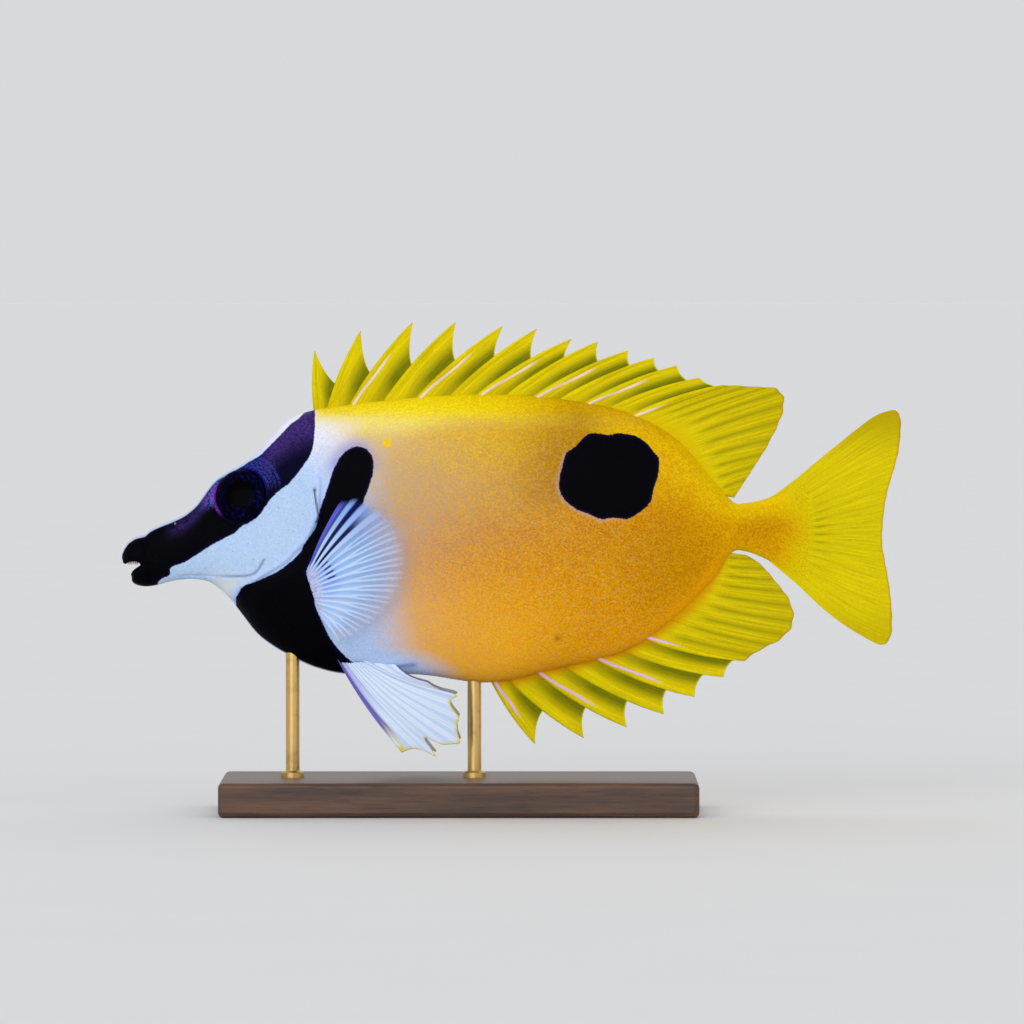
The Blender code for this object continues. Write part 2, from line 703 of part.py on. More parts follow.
def pectoral_columns(flank_y, rows):
    """A fan of rays from a short slanting root on the flank, lifting away from the body."""
    columns = []
    for v, crest in fan_shares(PECTORAL_RAY_COUNT):
        root, tip = catmull_rom(PECTORAL_ROOT, v), catmull_rom(PECTORAL_TIPS, v)
        length = np.linalg.norm(tip - root)
        out = flank_y(*root)
        spread = math.tan(math.radians(PECTORAL_SPREAD - PECTORAL_BACK_SPREAD * v))
        column = []
        for k in range(rows):
            t = (k / (rows - 1)) ** 1.25
            spot = root + (tip - root) * t
            base = math.exp(-t / SIDE_BASE_REACH)
            y = out + length * spread * t + PECTORAL_CUP * math.sin(math.pi * t) - PECTORAL_SUNK * base
            rib = PECTORAL_RIB_HALF if crest else MEMBRANE_HALF
            half = max(rib * (1 - 0.3 * t), PECTORAL_BASE_HALF * base, MEMBRANE_HALF)
            column.append((spot[0], spot[1], y, half))
        columns.append(column)
    return columns


def pelvic_column(root, tip, across, half, rows):
    """A line down the fin, moved across it towards its tip."""
    along = tip - root
    length = np.linalg.norm(along)
    side = np.array((-along[1], along[0])) / length
    column = []
    for k in range(rows):
        t = k / (rows - 1)
        spot = root + along * t + side * across * (0.4 + 0.6 * t)
        y = PELVIC_OUT + t * length * math.tan(math.radians(PELVIC_SPREAD))
        thick = max(half * (1 - 0.4 * t), PELVIC_BASE_HALF * math.exp(-t / SIDE_BASE_REACH), MEMBRANE_HALF)
        column.append((spot[0], spot[1] + PELVIC_SUNK * (1 - t) ** 3, y, thick))
    return column


def pelvic_columns(rows):
    """A leading spine, three soft rays and an inner spine, webbed to the belly behind."""
    columns = []
    for root, tip, rib in PELVIC_RAYS:
        root, tip = np.array(root), np.array(tip)
        if rib > MEMBRANE_HALF:
            columns.append(pelvic_column(root, tip, -PELVIC_RIB_EDGE, MEMBRANE_HALF, rows))
            columns.append(pelvic_column(root, tip, 0.0, rib, rows))
            columns.append(pelvic_column(root, tip, PELVIC_RIB_EDGE, MEMBRANE_HALF, rows))
        else:
            columns.append(pelvic_column(root, tip, 0.0, rib, rows))
    return columns


def make_side_fins(flank_y, where, cutters, finish):
    for side, word in ((-1, "left"), (1, "right")):
        side_sheet("pectoral_fin_" + word, side, pectoral_columns(flank_y, 7),
                   flesh("clear", cutters, grow=GAP), where, finish)
        side_sheet("pelvic_fin_" + word, side, pelvic_columns(7),
                   flesh("clear", cutters, grow=GAP), where, finish)


def make_stand(where, cutters, wood, brass):
    """A flat base with two short rods that end against the chest and the belly."""
    length, width, height = STAND_BASE
    bpy.ops.mesh.primitive_cube_add(size=1.0)
    base = adopt("stand_base", where, wood)
    base.data.transform(Matrix.Diagonal((length * MM, width * MM, height * MM, 1.0)))
    base.location = row_point(STAND_BASE_S, height / 2)
    edge = base.modifiers.new("edge", "BEVEL")
    edge.width = STAND_EDGE * MM
    edge.segments = 3
    for name, s in (("stand_rod_front", ROD_FRONT_S), ("stand_rod_rear", ROD_REAR_S)):
        foot = height + GAP
        bpy.ops.mesh.primitive_cylinder_add(vertices=24, radius=ROD_RADIUS * MM, depth=ROD_BLANK * MM)
        rod = adopt(name, where, brass)
        rod.data.transform(Matrix.Translation(row_point(s, foot + ROD_BLANK / 2)))
        boolean(rod, [flesh("clear", cutters, grow=GAP)], "DIFFERENCE")
        keep_largest(rod)
        rod.data.shade_flat()


def main():
    for obj in list(bpy.data.objects):
        bpy.data.objects.remove(obj)
    parts = collection("blotched_foxface")
    cutters = collection("cutters", hidden=True)
    masked = material("masked_head", (0.05, 0.04, 0.06), 0.4)
    golden = material("golden_flank", (0.86, 0.5, 0.06), 0.42)
    amber = material("amber_tail_base", (0.84, 0.48, 0.02), 0.42)
    yellow = material("yellow_fin", (0.85, 0.7, 0.02), 0.38)
    pearl = material("pearl_fin", (0.75, 0.8, 0.9), 0.35)
    dark_eye = material("dark_eye", (0.01, 0.01, 0.02), 0.08)
    wood = material("dark_wood", (0.09, 0.05, 0.03), 0.45)
    brass = material("brass", (0.7, 0.55, 0.3), 0.3, metallic=1.0)
    flank_y = flank_finder()
    make_head(flank_y, parts, cutters, masked)
    make_trunk(parts, cutters, golden, amber)
    for side, word in ((-1, "left"), (1, "right")):
        eyeball("eye_" + word, side, parts, finish=dark_eye)
    median_fin("dorsal_fin", 0, DORSAL_SPINES, (DORSAL_NOTCH_FIRST, DORSAL_NOTCH_LAST),
               (DORSAL_RAY_COUNT, DORSAL_RAY_ROOTS, DORSAL_MARGIN), parts, yellow)
    median_fin("anal_fin", 1, ANAL_SPINES, (ANAL_NOTCH_FIRST, ANAL_NOTCH_LAST),
               (ANAL_RAY_COUNT, ANAL_RAY_ROOTS, ANAL_MARGIN), parts, yellow)
    make_tail_fin(flank_y, parts, yellow)
    make_side_fins(flank_y, parts, cutters, pearl)
    make_stand(parts, cutters, wood, brass)


main()
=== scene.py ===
"""Looks of the blotched foxface model: skin, fins, eyes, mouth, stand, floor, light and camera.

Sizes are in millimetres, as in the part's own source: s is the distance behind the snout tip, h the
height above the floor and y the distance out from the fish's mid-plane. Arrays of points hold (s, h, y).
"""

import math

import bmesh
import bpy
import numpy as np
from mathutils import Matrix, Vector


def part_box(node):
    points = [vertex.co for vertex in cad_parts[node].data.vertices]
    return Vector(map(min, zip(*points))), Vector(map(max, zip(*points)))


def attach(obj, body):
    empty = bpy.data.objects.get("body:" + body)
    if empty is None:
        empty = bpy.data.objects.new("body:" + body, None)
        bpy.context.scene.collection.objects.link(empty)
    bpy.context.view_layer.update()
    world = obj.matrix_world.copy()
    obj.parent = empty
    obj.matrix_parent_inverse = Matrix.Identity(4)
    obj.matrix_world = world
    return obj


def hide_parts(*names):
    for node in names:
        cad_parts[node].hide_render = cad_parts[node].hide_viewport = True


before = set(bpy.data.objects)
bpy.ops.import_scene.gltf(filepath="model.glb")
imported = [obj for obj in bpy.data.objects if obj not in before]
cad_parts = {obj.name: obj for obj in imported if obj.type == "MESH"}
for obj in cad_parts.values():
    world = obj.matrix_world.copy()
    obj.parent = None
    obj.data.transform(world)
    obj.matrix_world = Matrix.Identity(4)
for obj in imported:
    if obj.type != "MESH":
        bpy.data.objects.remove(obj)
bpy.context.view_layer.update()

MM = 0.001
TOTAL_LENGTH = 180.0
LEFT, RIGHT = -1, 1
SIDES = ((LEFT, "left"), (RIGHT, "right"))
BACK, BELLY = 0, 1
# Fins stand up from the back and down from the belly.
FIN_WAY = (1, -1)

# Flesh sections from the snout tip into the tail: top s, top h, bottom s, bottom h, half width.
FLESH_SECTIONS = (
    (0.0, 58.9, 0.1, 58.6, 0.3),
    (0.2, 59.9, 0.5, 57.0, 1.6),
    (0.7, 61.1, 1.3, 55.4, 2.5),
    (1.7, 62.5, 2.2, 53.9, 3.2),
    (3.1, 63.5, 3.3, 52.6, 3.7),
    (4.5, 63.9, 5.2, 52.1, 3.8),
    (5.5, 64.1, 7.0, 52.2, 3.5),
    (6.7, 65.2, 8.9, 52.6, 3.7),
    (8.9, 66.3, 11.2, 53.2, 4.0),
    (11.7, 67.4, 14.0, 53.7, 4.3),
    (14.9, 69.0, 16.7, 53.8, 4.8),
    (17.7, 71.4, 19.1, 53.5, 5.4),
    (20.0, 74.5, 20.9, 52.8, 6.0),
    (22.1, 76.9, 23.2, 51.1, 6.6),
    (25.1, 78.7, 25.5, 48.8, 7.2),
    (28.5, 80.8, 28.1, 45.3, 7.8),
    (32.0, 83.7, 31.3, 41.2, 8.4),
    (35.4, 87.6, 35.0, 38.3, 8.9),
    (38.7, 90.6, 38.9, 36.1, 9.4),
    (44.0, 92.7, 45.0, 33.3, 10.1),
    (52.8, 94.1, 52.8, 31.8, 10.8),
    (68.9, 95.8, 68.9, 31.7, 11.5),
    (85.1, 96.5, 85.1, 29.9, 11.3),
    (101.3, 95.4, 101.3, 33.3, 10.3),
    (116.3, 92.5, 116.3, 37.3, 8.6),
    (127.8, 86.7, 127.8, 45.0, 6.6),
    (136.4, 76.9, 136.4, 53.7, 4.9),
    (141.2, 71.7, 140.7, 59.7, 3.9),
    (144.2, 71.4, 144.0, 60.2, 3.5),
    (149.0, 72.4, 149.0, 58.3, 2.6),
    (154.0, 74.6, 154.0, 55.2, 1.15),
    (159.0, 77.0, 159.0, 51.5, 0.25),
    (164.0, 79.5, 164.0, 48.0, 0.05),
)
HEAD_STEP, HEAD_END, TRUNK_STEP = 0.31, 48.0, 0.78
SKIN_AROUND = 288

GILL_EDGE = ((43.8, 96.0), (44.0, 91.0), (45.6, 83.6), (46.1, 74.4), (45.6, 67.9), (43.1, 62.8),
             (37.8, 57.5), (31.5, 53.8), (27.6, 51.6), (25.9, 48.3), (24.8, 44.0))
GILL_STEP_DEPTH, GILL_STEP_REACH = 0.6, 7.0

EYE_CENTRE = (27.9, 73.2)
EYEBALL_RADIUS = 6.2
EYE_HALF_DEPTH = 2.6
EYE_OUT = 5.7
EYE_TILT_UP = 15.0
EYE_TILT_FORWARD = 14.0
# Distances from the eye's axis: its socket's rim, its coloured ring and the wrinkles behind it.
EYE_RIM, EYE_RING = 6.7, 6.28
EYE_WRINKLES = (6.9, 7.7, 8.6, 9.6)

MOUTH_GAPE = ((-3.0, 58.3), (0.05, 58.1), (0.35, 57.6), (0.9, 57.3), (1.3, 57.45), (1.7, 57.75),
              (2.6, 58.0), (3.6, 57.95), (4.2, 57.6), (4.5, 57.15), (4.1, 56.8), (3.4, 56.4), (2.7, 55.8),
              (2.3, 55.1), (2.05, 54.3), (2.0, 53.9), (1.6, 53.2), (-3.0, 52.0))
LIP_EDGE = slice(3, 15)
LIPS_END, GAPE_HALF_WIDTH = 7.5, 12.0
NOSTRILS = ((12.1, 66.0, 0.45), (15.0, 67.4, 0.6))
NOSTRIL_GLINT = (12.5, 66.7)
CHEEK_LINE = ((14.5, 54.6), (20.9, 54.5), (26.0, 54.6), (29.7, 54.9), (31.6, 56.0), (33.2, 58.6))
CHEEK_STEPS = np.linspace(0, 1, 24)
LIP_CREASES = (((5.0, 64.4), (5.7, 62.8), (6.3, 61.0), (6.6, 59.2), (6.9, 57.6)),
               ((7.2, 52.0), (7.0, 53.4), (6.8, 54.8), (6.9, 56.6)),
               ((4.4, 57.1), (5.6, 57.2), (6.9, 57.1)))
BELLY_FOLD = ((54.0, 34.4), (58.5, 33.7), (63.0, 33.5), (67.5, 33.9))
GILL_SLIT = ((44.8, 74.6), (44.9, 73.4), (45.3, 70.9), (45.7, 68.6), (45.3, 67.2))
LATERAL_LINE = ((47.0, 84.5), (60.0, 87.5), (78.0, 88.8), (96.0, 87.5), (112.0, 83.0), (126.0, 76.0),
                (136.0, 69.5), (146.0, 66.0), (156.0, 65.3))

# Black marks, as outlines on either flank.
MASK = ((44.8, 92.0), (44.8, 88.3), (44.5, 84.9), (43.8, 82.6), (42.5, 80.5), (40.8, 78.2), (38.9, 76.0),
        (36.6, 74.3), (34.3, 71.9), (32.6, 69.4), (30.8, 67.6), (28.1, 66.2), (26.9, 65.0), (24.1, 63.4),
        (21.6, 62.1), (19.3, 60.7),
        (16.9, 59.1), (14.6, 57.7), (12.2, 56.9), (11.4, 56.2), (11.2, 54.7), (9.7, 54.1), (8.5, 52.9),
        (8.0, 50.0), (-4.0, 48.0), (-4.0, 66.0), (5.2, 66.4), (8.0, 66.0), (11.2, 67.1), (14.6, 68.7),
        (17.4, 71.0), (19.6, 73.9), (22.0, 76.6), (24.6, 78.2), (27.4, 79.7), (30.2, 81.3), (32.0, 82.4),
        (34.3, 84.6), (36.6, 87.0), (38.9, 89.4), (41.2, 91.2), (42.6, 92.6), (44.4, 93.6))
BAR = ((54.6, 84.6), (52.3, 83.8), (50.3, 81.6), (49.1, 79.2), (47.9, 75.6), (47.0, 72.8), (46.1, 70.5),
       (45.0, 66.0), (42.0, 60.5), (50.0, 60.0), (54.0, 66.0), (56.3, 72.6), (57.6, 76.0), (58.4, 79.5),
       (58.1, 82.2), (56.6, 84.1))
CHEST = ((46.0, 68.0), (45.4, 67.0), (43.0, 62.2), (37.8, 56.9), (31.5, 53.6), (28.4, 52.4), (27.0, 50.4),
         (26.4, 47.0), (27.0, 28.0), (50.0, 30.0), (53.9, 33.6), (51.6, 36.3), (49.5, 38.7), (47.7, 41.6),
         (46.5, 44.4), (45.1, 47.5), (44.8, 50.2), (44.2, 53.6), (43.0, 55.8), (45.5, 60.0), (52.0, 62.0),
         (50.0, 68.0))
# Each mark, and how many points its outline is smoothed to.
MARKS = ((BAR, 90), (MASK, 220), (CHEST, 120))
BLOTCH_POINTS = 216
BLOTCH_CENTRE = (112.6, 77.7)
# How far the blotch reaches from its centre at every 10 degrees, from the tail's side upwards.
BLOTCH_REACH = (11.2, 11.65, 12.1, 11.65, 11.5, 11.25, 10.95, 10.4, 10.1, 9.45, 9.9, 10.6, 10.9, 10.6,
                10.5, 11.35, 11.2, 11.15, 11.5, 11.95, 11.95, 11.55, 11.0, 10.5, 9.9, 9.95, 10.1, 9.7,
                9.7, 10.6, 10.7, 10.85, 11.1, 11.1, 10.75, 10.7)
GOLD_SPOT = (61.5, 85.4)
BROWN_FLECK = (100.6, 40.3)

# How far back the white of the head reaches, and over what length it fades, at each height.
WHITE_LEVELS = (29.0, 33.0, 36.0, 38.0, 45.0, 55.0, 62.0, 66.0, 70.0, 75.0, 80.0,
                82.0, 84.0, 86.0, 87.0, 88.0, 89.0, 90.0, 91.0, 92.0, 94.0)
WHITE_ENDS = (68.0, 67.0, 61.0, 56.0, 54.0, 54.0, 54.0, 52.0, 48.0, 44.0, 43.0,
              42.0, 42.0, 44.0, 45.0, 44.0, 40.0, 34.0, 0.0, 0.0, -20.0)
WHITE_FADES = (14.0, 14.0, 17.0, 18.0, 18.0, 18.0, 18.0, 19.0, 20.0, 23.0, 24.0,
               26.0, 26.0, 20.0, 15.0, 16.0, 24.0, 32.0, 78.0, 56.0, 60.0)

# Dorsal spines: root s, tip s, tip h.
DORSAL_SPINES = (
    (45.1, 44.7, 106.5), (47.9, 55.3, 111.1), (52.9, 67.3, 113.1), (60.7, 77.2, 113.1),
    (68.1, 88.1, 112.2), (75.9, 95.9, 111.5), (82.1, 104.0, 109.2), (88.8, 110.0, 108.5),
    (95.0, 117.0, 106.5), (101.0, 123.0, 104.8), (107.0, 128.3, 103.0), (112.6, 133.6, 100.2),
    (118.0, 139.0, 98.6),
)
# How far up the next spine the foremost and the last membrane reach.
DORSAL_NOTCHES = (0.32, 0.93)
# Soft rays: root s, tip s, tip h; the last is the web's rear end. Spines with a painted highlight, a pale
# line down the spine, are counted from the front.
DORSAL_RAYS = (
    (120.2, 142.3, 98.5), (122.2, 147.2, 98.2), (124.8, 151.1, 97.9), (127.3, 153.0, 95.8),
    (129.6, 152.7, 92.1), (131.7, 151.1, 88.2), (133.6, 148.9, 84.0), (135.4, 147.1, 81.2),
    (137.3, 145.3, 78.4), (138.8, 143.2, 75.2), (139.3, 141.5, 72.6),
)
DORSAL_HIGHLIT = (3, 5, 7, 9, 11, 13)

ANAL_SPINES = (
    (85.9, 95.5, 15.7), (89.6, 106.8, 17.1), (95.9, 116.7, 19.6), (102.3, 125.3, 22.6),
    (109.3, 132.4, 26.6), (115.7, 139.1, 31.2), (121.0, 144.0, 34.9),
)
ANAL_NOTCHES = (0.5, 0.9)
ANAL_RAYS = (
    (125.0, 147.7, 37.4), (127.4, 151.8, 39.5), (129.9, 154.6, 42.3), (132.4, 155.3, 45.7),
    (134.4, 154.1, 49.4), (136.2, 152.0, 52.2), (137.7, 149.7, 55.0), (139.0, 147.4, 57.4),
    (140.1, 144.6, 59.2), (140.4, 143.2, 59.5),
)
ANAL_HIGHLIT = (1, 3, 5, 7)

SPINE_HALF_ROOT, SPINE_HALF_TIP = 0.75, 0.1
# A spine's bow as a share of its length, and how far spines lean to either side in turn.
SPINE_BOW, SPINE_LEAN = 0.035, 0.32
# A membrane's half thickness, and how hollow its free edge is.
MEMBRANE_HALF, MEMBRANE_HOLLOW = 0.1, 0.12
RAY_RELIEF = 0.19
FIN_SUNK = 1.0
NO_HIGHLIGHT = 9.0

TAIL_ROOT = ((150.0, 72.0), (152.0, 69.9), (154.0, 67.0), (154.6, 64.6), (154.0, 61.6), (152.0, 59.4),
             (150.0, 58.2))
TAIL_UPPER_EDGE = ((148.8, 72.2), (150.7, 73.2), (152.7, 74.6), (154.7, 76.15), (156.7, 77.7), (159.0, 79.7),
                   (161.3, 81.6), (163.6, 83.5), (165.9, 85.3), (168.2, 87.2), (170.5, 89.0), (172.8, 90.7),
                   (175.1, 92.0), (177.4, 92.7), (178.6, 92.8))
TAIL_LOWER_EDGE = ((149.7, 57.8), (153.1, 55.0), (156.7, 51.9), (159.5, 49.2), (162.4, 46.6), (165.3, 44.3),
                   (168.2, 42.3), (171.1, 40.6), (173.3, 39.35), (175.2, 38.6), (176.5, 38.75))
TAIL_MARGIN = ((178.6, 92.8), (179.6, 92.0), (180.0, 89.9), (179.9, 87.2), (179.5, 83.5), (178.5, 79.5),
               (176.8, 73.5), (175.9, 67.5), (175.7, 62.0), (176.5, 57.0), (177.3, 52.5), (177.9, 47.0),
               (178.0, 43.4), (177.9, 41.4), (177.4, 39.8), (176.5, 38.75))
TAIL_RAY_COUNT, TAIL_AXIS_H = 17, 65.5

PECTORAL_ROOT = ((42.9, 55.2), (44.0, 51.6), (45.8, 46.2))
PECTORAL_TIPS = ((51.1, 72.5), (55.5, 73.0), (60.6, 70.3), (64.4, 66.0), (66.3, 60.8), (66.2, 55.6),
                 (64.6, 51.0), (61.4, 46.8), (57.6, 43.2), (53.6, 40.6), (49.9, 39.4))
PECTORAL_RAY_COUNT = 16
PECTORAL_SPREAD, PECTORAL_BACK_SPREAD = 20.0, 6.0
PECTORAL_CUP = 0.6

PELVIC_RAYS = (
    ((49.9, 31.8), (64.8, 14.1)), ((50.6, 32.0), (68.6, 14.9)), ((51.2, 32.2), (72.6, 13.4)),
    ((51.6, 32.3), (70.1, 17.4)), ((52.0, 32.4), (74.2, 16.0)), ((52.4, 32.5), (78.2, 16.4)),
    ((52.8, 32.6), (77.6, 19.4)), ((53.2, 32.7), (78.0, 22.2)), ((53.6, 32.8), (76.0, 25.5)),
    ((54.0, 32.9), (77.5, 27.3)), ((57.5, 32.4), (73.4, 28.6)), ((62.0, 32.2), (70.6, 30.2)),
)
PELVIC_OUT, PELVIC_SPREAD, PELVIC_SUNK = 2.6, 14.0, 3.6

# Tooth rows: s and h of the middle tooth, which way the teeth point, and the row's half width and depth.
TOOTH_ROWS = ((1.5, 57.78, -1, 2.25, 2.3), (3.3, 55.3, 1, 2.0, 1.2))
TEETH_BESIDE, TOOTH_TURN = 7, 12
TOOTH_HALF_WIDTH, TOOTH_HALF_THICKNESS = 0.24, 0.09
# Heights along a tooth, and its width at each.
TOOTH_LEVELS = ((-0.45, 1.0), (0.35, 0.9), (0.6, 0.45))

ROD_RADIUS, ROD_SIDES = 1.6, 64
ROD_PLACES = {"stand_rod_front": 39.5, "stand_rod_rear": 81.5}
ROD_IN_FISH, ROD_IN_BASE = 0.6, 0.3
FERRULE_RADIUS, FERRULE_HEIGHT = 2.7, 1.4

# Tints of the flank in turn: field, strength, and the two colours between which the scales vary.
FLANK_TINTS = (
    # The first tint lightens the lower flank: painted light from below.
    ("painted_underlight", 1.0, (255, 190, 22), (246, 166, 8)),
    ("dusk", 0.7, (176, 118, 10), (150, 92, 6)),
    ("amber", 0.8, (206, 152, 0), (184, 120, 0)),
    ("sallow", 0.62, (246, 212, 0), (232, 196, 0)),
    # Orange along the belly's lower edge: partly the fish's own colour, partly painted light lifting the
    # shade of the downward-facing edge.
    ("low_edge_and_underlight", 0.85, (255, 180, 8), (240, 160, 4)),
)

FLOOR_RADIUS = 60.0
WORLD_COLOUR, WORLD_STRENGTH = (0.98, 0.99, 1.0, 1.0), 0.7

# The photograph's frame: 1024 pixels across, the snout tip and the floor at these pixels.
FRAME_PIXELS = 1024
PIXEL = TOTAL_LENGTH / 779.5
SNOUT_PX, FLOOR_PX = 121.5, 812.0
CAMERA_DISTANCE, CAMERA_ELEVATION, SENSOR = 2.0, 1.5, 36.0


def rising(low, high, value):
    """A smooth rise from 0 at low to 1 at high."""
    t = np.clip((value - low) / (high - low), 0.0, 1.0)
    return t * t * (3 - 2 * t)


def falling(low, high, value):
    return 1 - rising(low, high, value)


def window(value, rise, risen, fall, fallen):
    """1 between a smooth rise and a smooth fall."""
    return rising(rise, risen, value) * falling(fall, fallen, value)


def bell(value, width):
    return np.exp(-((value / width) ** 2))


def srgb(red, green, blue):
    """A linear colour from 8-bit display values."""
    return tuple(((c / 255 + 0.055) / 1.055) ** 2.4 if c > 10 else c / 255 / 12.92
                 for c in (red, green, blue))


def catmull_rom(points, t):
    """Points at each t, from 0 to 1, on a smooth curve through every given point."""
    points = np.asarray(points, float)
    last = len(points) - 1
    padded = np.vstack((2 * points[0] - points[1], points, 2 * points[last] - points[last - 1]))
    place = np.clip(np.asarray(t, float), 0.0, 1.0) * last
    i = np.minimum(place.astype(int), last - 1)
    u = (place - i)[..., None]
    p0, p1, p2, p3 = (padded[i + k] for k in range(4))
    return 0.5 * (2 * p1 + (p2 - p0) * u + (2 * p0 - 5 * p1 + 4 * p2 - p3) * u * u
                  + (3 * p1 - p0 - 3 * p2 + p3) * u ** 3)


def evenly(points, count):
    """Points at even steps along the smooth curve through the given ones."""
    curve = catmull_rom(points, np.linspace(0, 1, 40 * len(points)))
    length = np.concatenate(([0.0], np.cumsum(np.linalg.norm(np.diff(curve, axis=0), axis=1))))
    steps = np.linspace(0, length[-1], count)
    return np.stack([np.interp(steps, length, curve[:, k]) for k in range(curve.shape[1])], -1)


def line_distance(path, s, h, closed=False):
    """Distance from each point to a polyline."""
    path = np.asarray(path, float)
    if closed:
        path = np.vstack((path, path[:1]))
    nearest = np.full(np.shape(s), 1e9)
    for (s0, h0), (s1, h1) in zip(path, path[1:]):
        run_s, run_h = s1 - s0, h1 - h0
        along = np.clip(((s - s0) * run_s + (h - h0) * run_h) / (run_s ** 2 + run_h ** 2 + 1e-12), 0, 1)
        nearest = np.minimum(nearest, np.hypot(s - s0 - along * run_s, h - h0 - along * run_h))
    return nearest


def near_line(path, s, h, width):
    return bell(line_distance(path, s, h), width)


def near_spot(spot, s, h, width):
    return bell(np.hypot(s - spot[0], h - spot[1]), width)


def inside_distance(outline, s, h):
    """Distance to a closed outline, positive inside it."""
    inside = np.zeros(np.shape(s), bool)
    path = np.vstack((outline, outline[:1]))
    for (s0, h0), (s1, h1) in zip(path, path[1:]):
        if h0 != h1:
            inside ^= ((h0 > h) != (h1 > h)) & (s < (s1 - s0) * (h - h0) / (h1 - h0) + s0)
    away = line_distance(outline, s, h, closed=True)
    return np.where(inside, away, -away)


def smooth_outline(points, count):
    """A closed outline rounded through its points."""
    points = np.asarray(points, float)
    looped = np.vstack((points[-1:], points, points[:2]))
    steps = np.linspace(1, len(points) + 1, count, endpoint=False) / (len(looped) - 1)
    return catmull_rom(looped, steps)


def row_frame(points):
    """Row frame metres from an array of (s, h, y)."""
    points = np.asarray(points, float)
    return np.stack((points[..., 0] - TOTAL_LENGTH / 2, points[..., 2], points[..., 1]), -1) * MM


def full_turn(count):
    """Angles at even steps round a circle."""
    return 2 * np.pi * np.arange(count) / count


def turned(radius, level, turns):
    """Points round a profile of radii and levels, turned about the third axis."""
    turn = full_turn(turns)[:, None]
    rings = (radius * np.cos(turn), radius * np.sin(turn), level * np.ones((turns, 1)))
    return np.stack(rings, -1).reshape(-1, 3)


def linked(name, data):
    """A new object in the scene."""
    made = bpy.data.objects.new(name, data)
    bpy.context.scene.collection.objects.link(made)
    return made


def meshed(name, corners, faces, finish):
    mesh = bpy.data.meshes.new(name)
    mesh.from_pydata(corners, [], faces)
    mesh.materials.append(finish)
    return linked(name, mesh)


def mesh_piece(name, corners, faces, fields, finish, replaces=()):
    """A smooth-shaded piece that rides on the root, with its named per-point fields."""
    faces = faces.tolist() if isinstance(faces, np.ndarray) else faces
    piece = meshed(name, corners.tolist(), faces, finish)
    store_fields(piece.data, fields)
    piece.data.shade_smooth()
    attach(piece, "root")
    if replaces:
        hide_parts(*replaces)
    return piece


def filled(fields, shape):
    """Each field with a value for every point of a grid of this shape."""
    return {key: np.broadcast_to(values, shape).ravel() for key, values in fields.items()}


def store_fields(mesh, fields):
    for key, values in filled(fields, len(mesh.vertices)).items():
        field = mesh.attributes.new(key, "FLOAT", "POINT")
        field.data.foreach_set("value", values.astype(np.float32))


def grid_faces(columns, rows, start=0, closed=False):
    """Quads over a grid whose points run down each column in turn."""
    c = np.arange(columns if closed else columns - 1)
    a = start + c[:, None] * rows + np.arange(rows - 1)
    b = start + ((c + 1) % columns)[:, None] * rows + np.arange(rows - 1)
    return np.stack((a, a + 1, b + 1, b), -1).reshape(-1, 4)


class Value:
    """A value in a material's graph. Sums and products of values become nodes."""

    def __init__(self, graph, socket):
        self.graph, self.socket = graph, socket

    def __add__(self, other):
        return self.graph.math("ADD", self, other)

    def __mul__(self, other):
        return self.graph.math("MULTIPLY", self, other)

    def __sub__(self, other):
        return self.graph.math("SUBTRACT", self, other)

    def __rsub__(self, other):
        return self.graph.math("SUBTRACT", other, self)

    __radd__ = __add__
    __rmul__ = __mul__


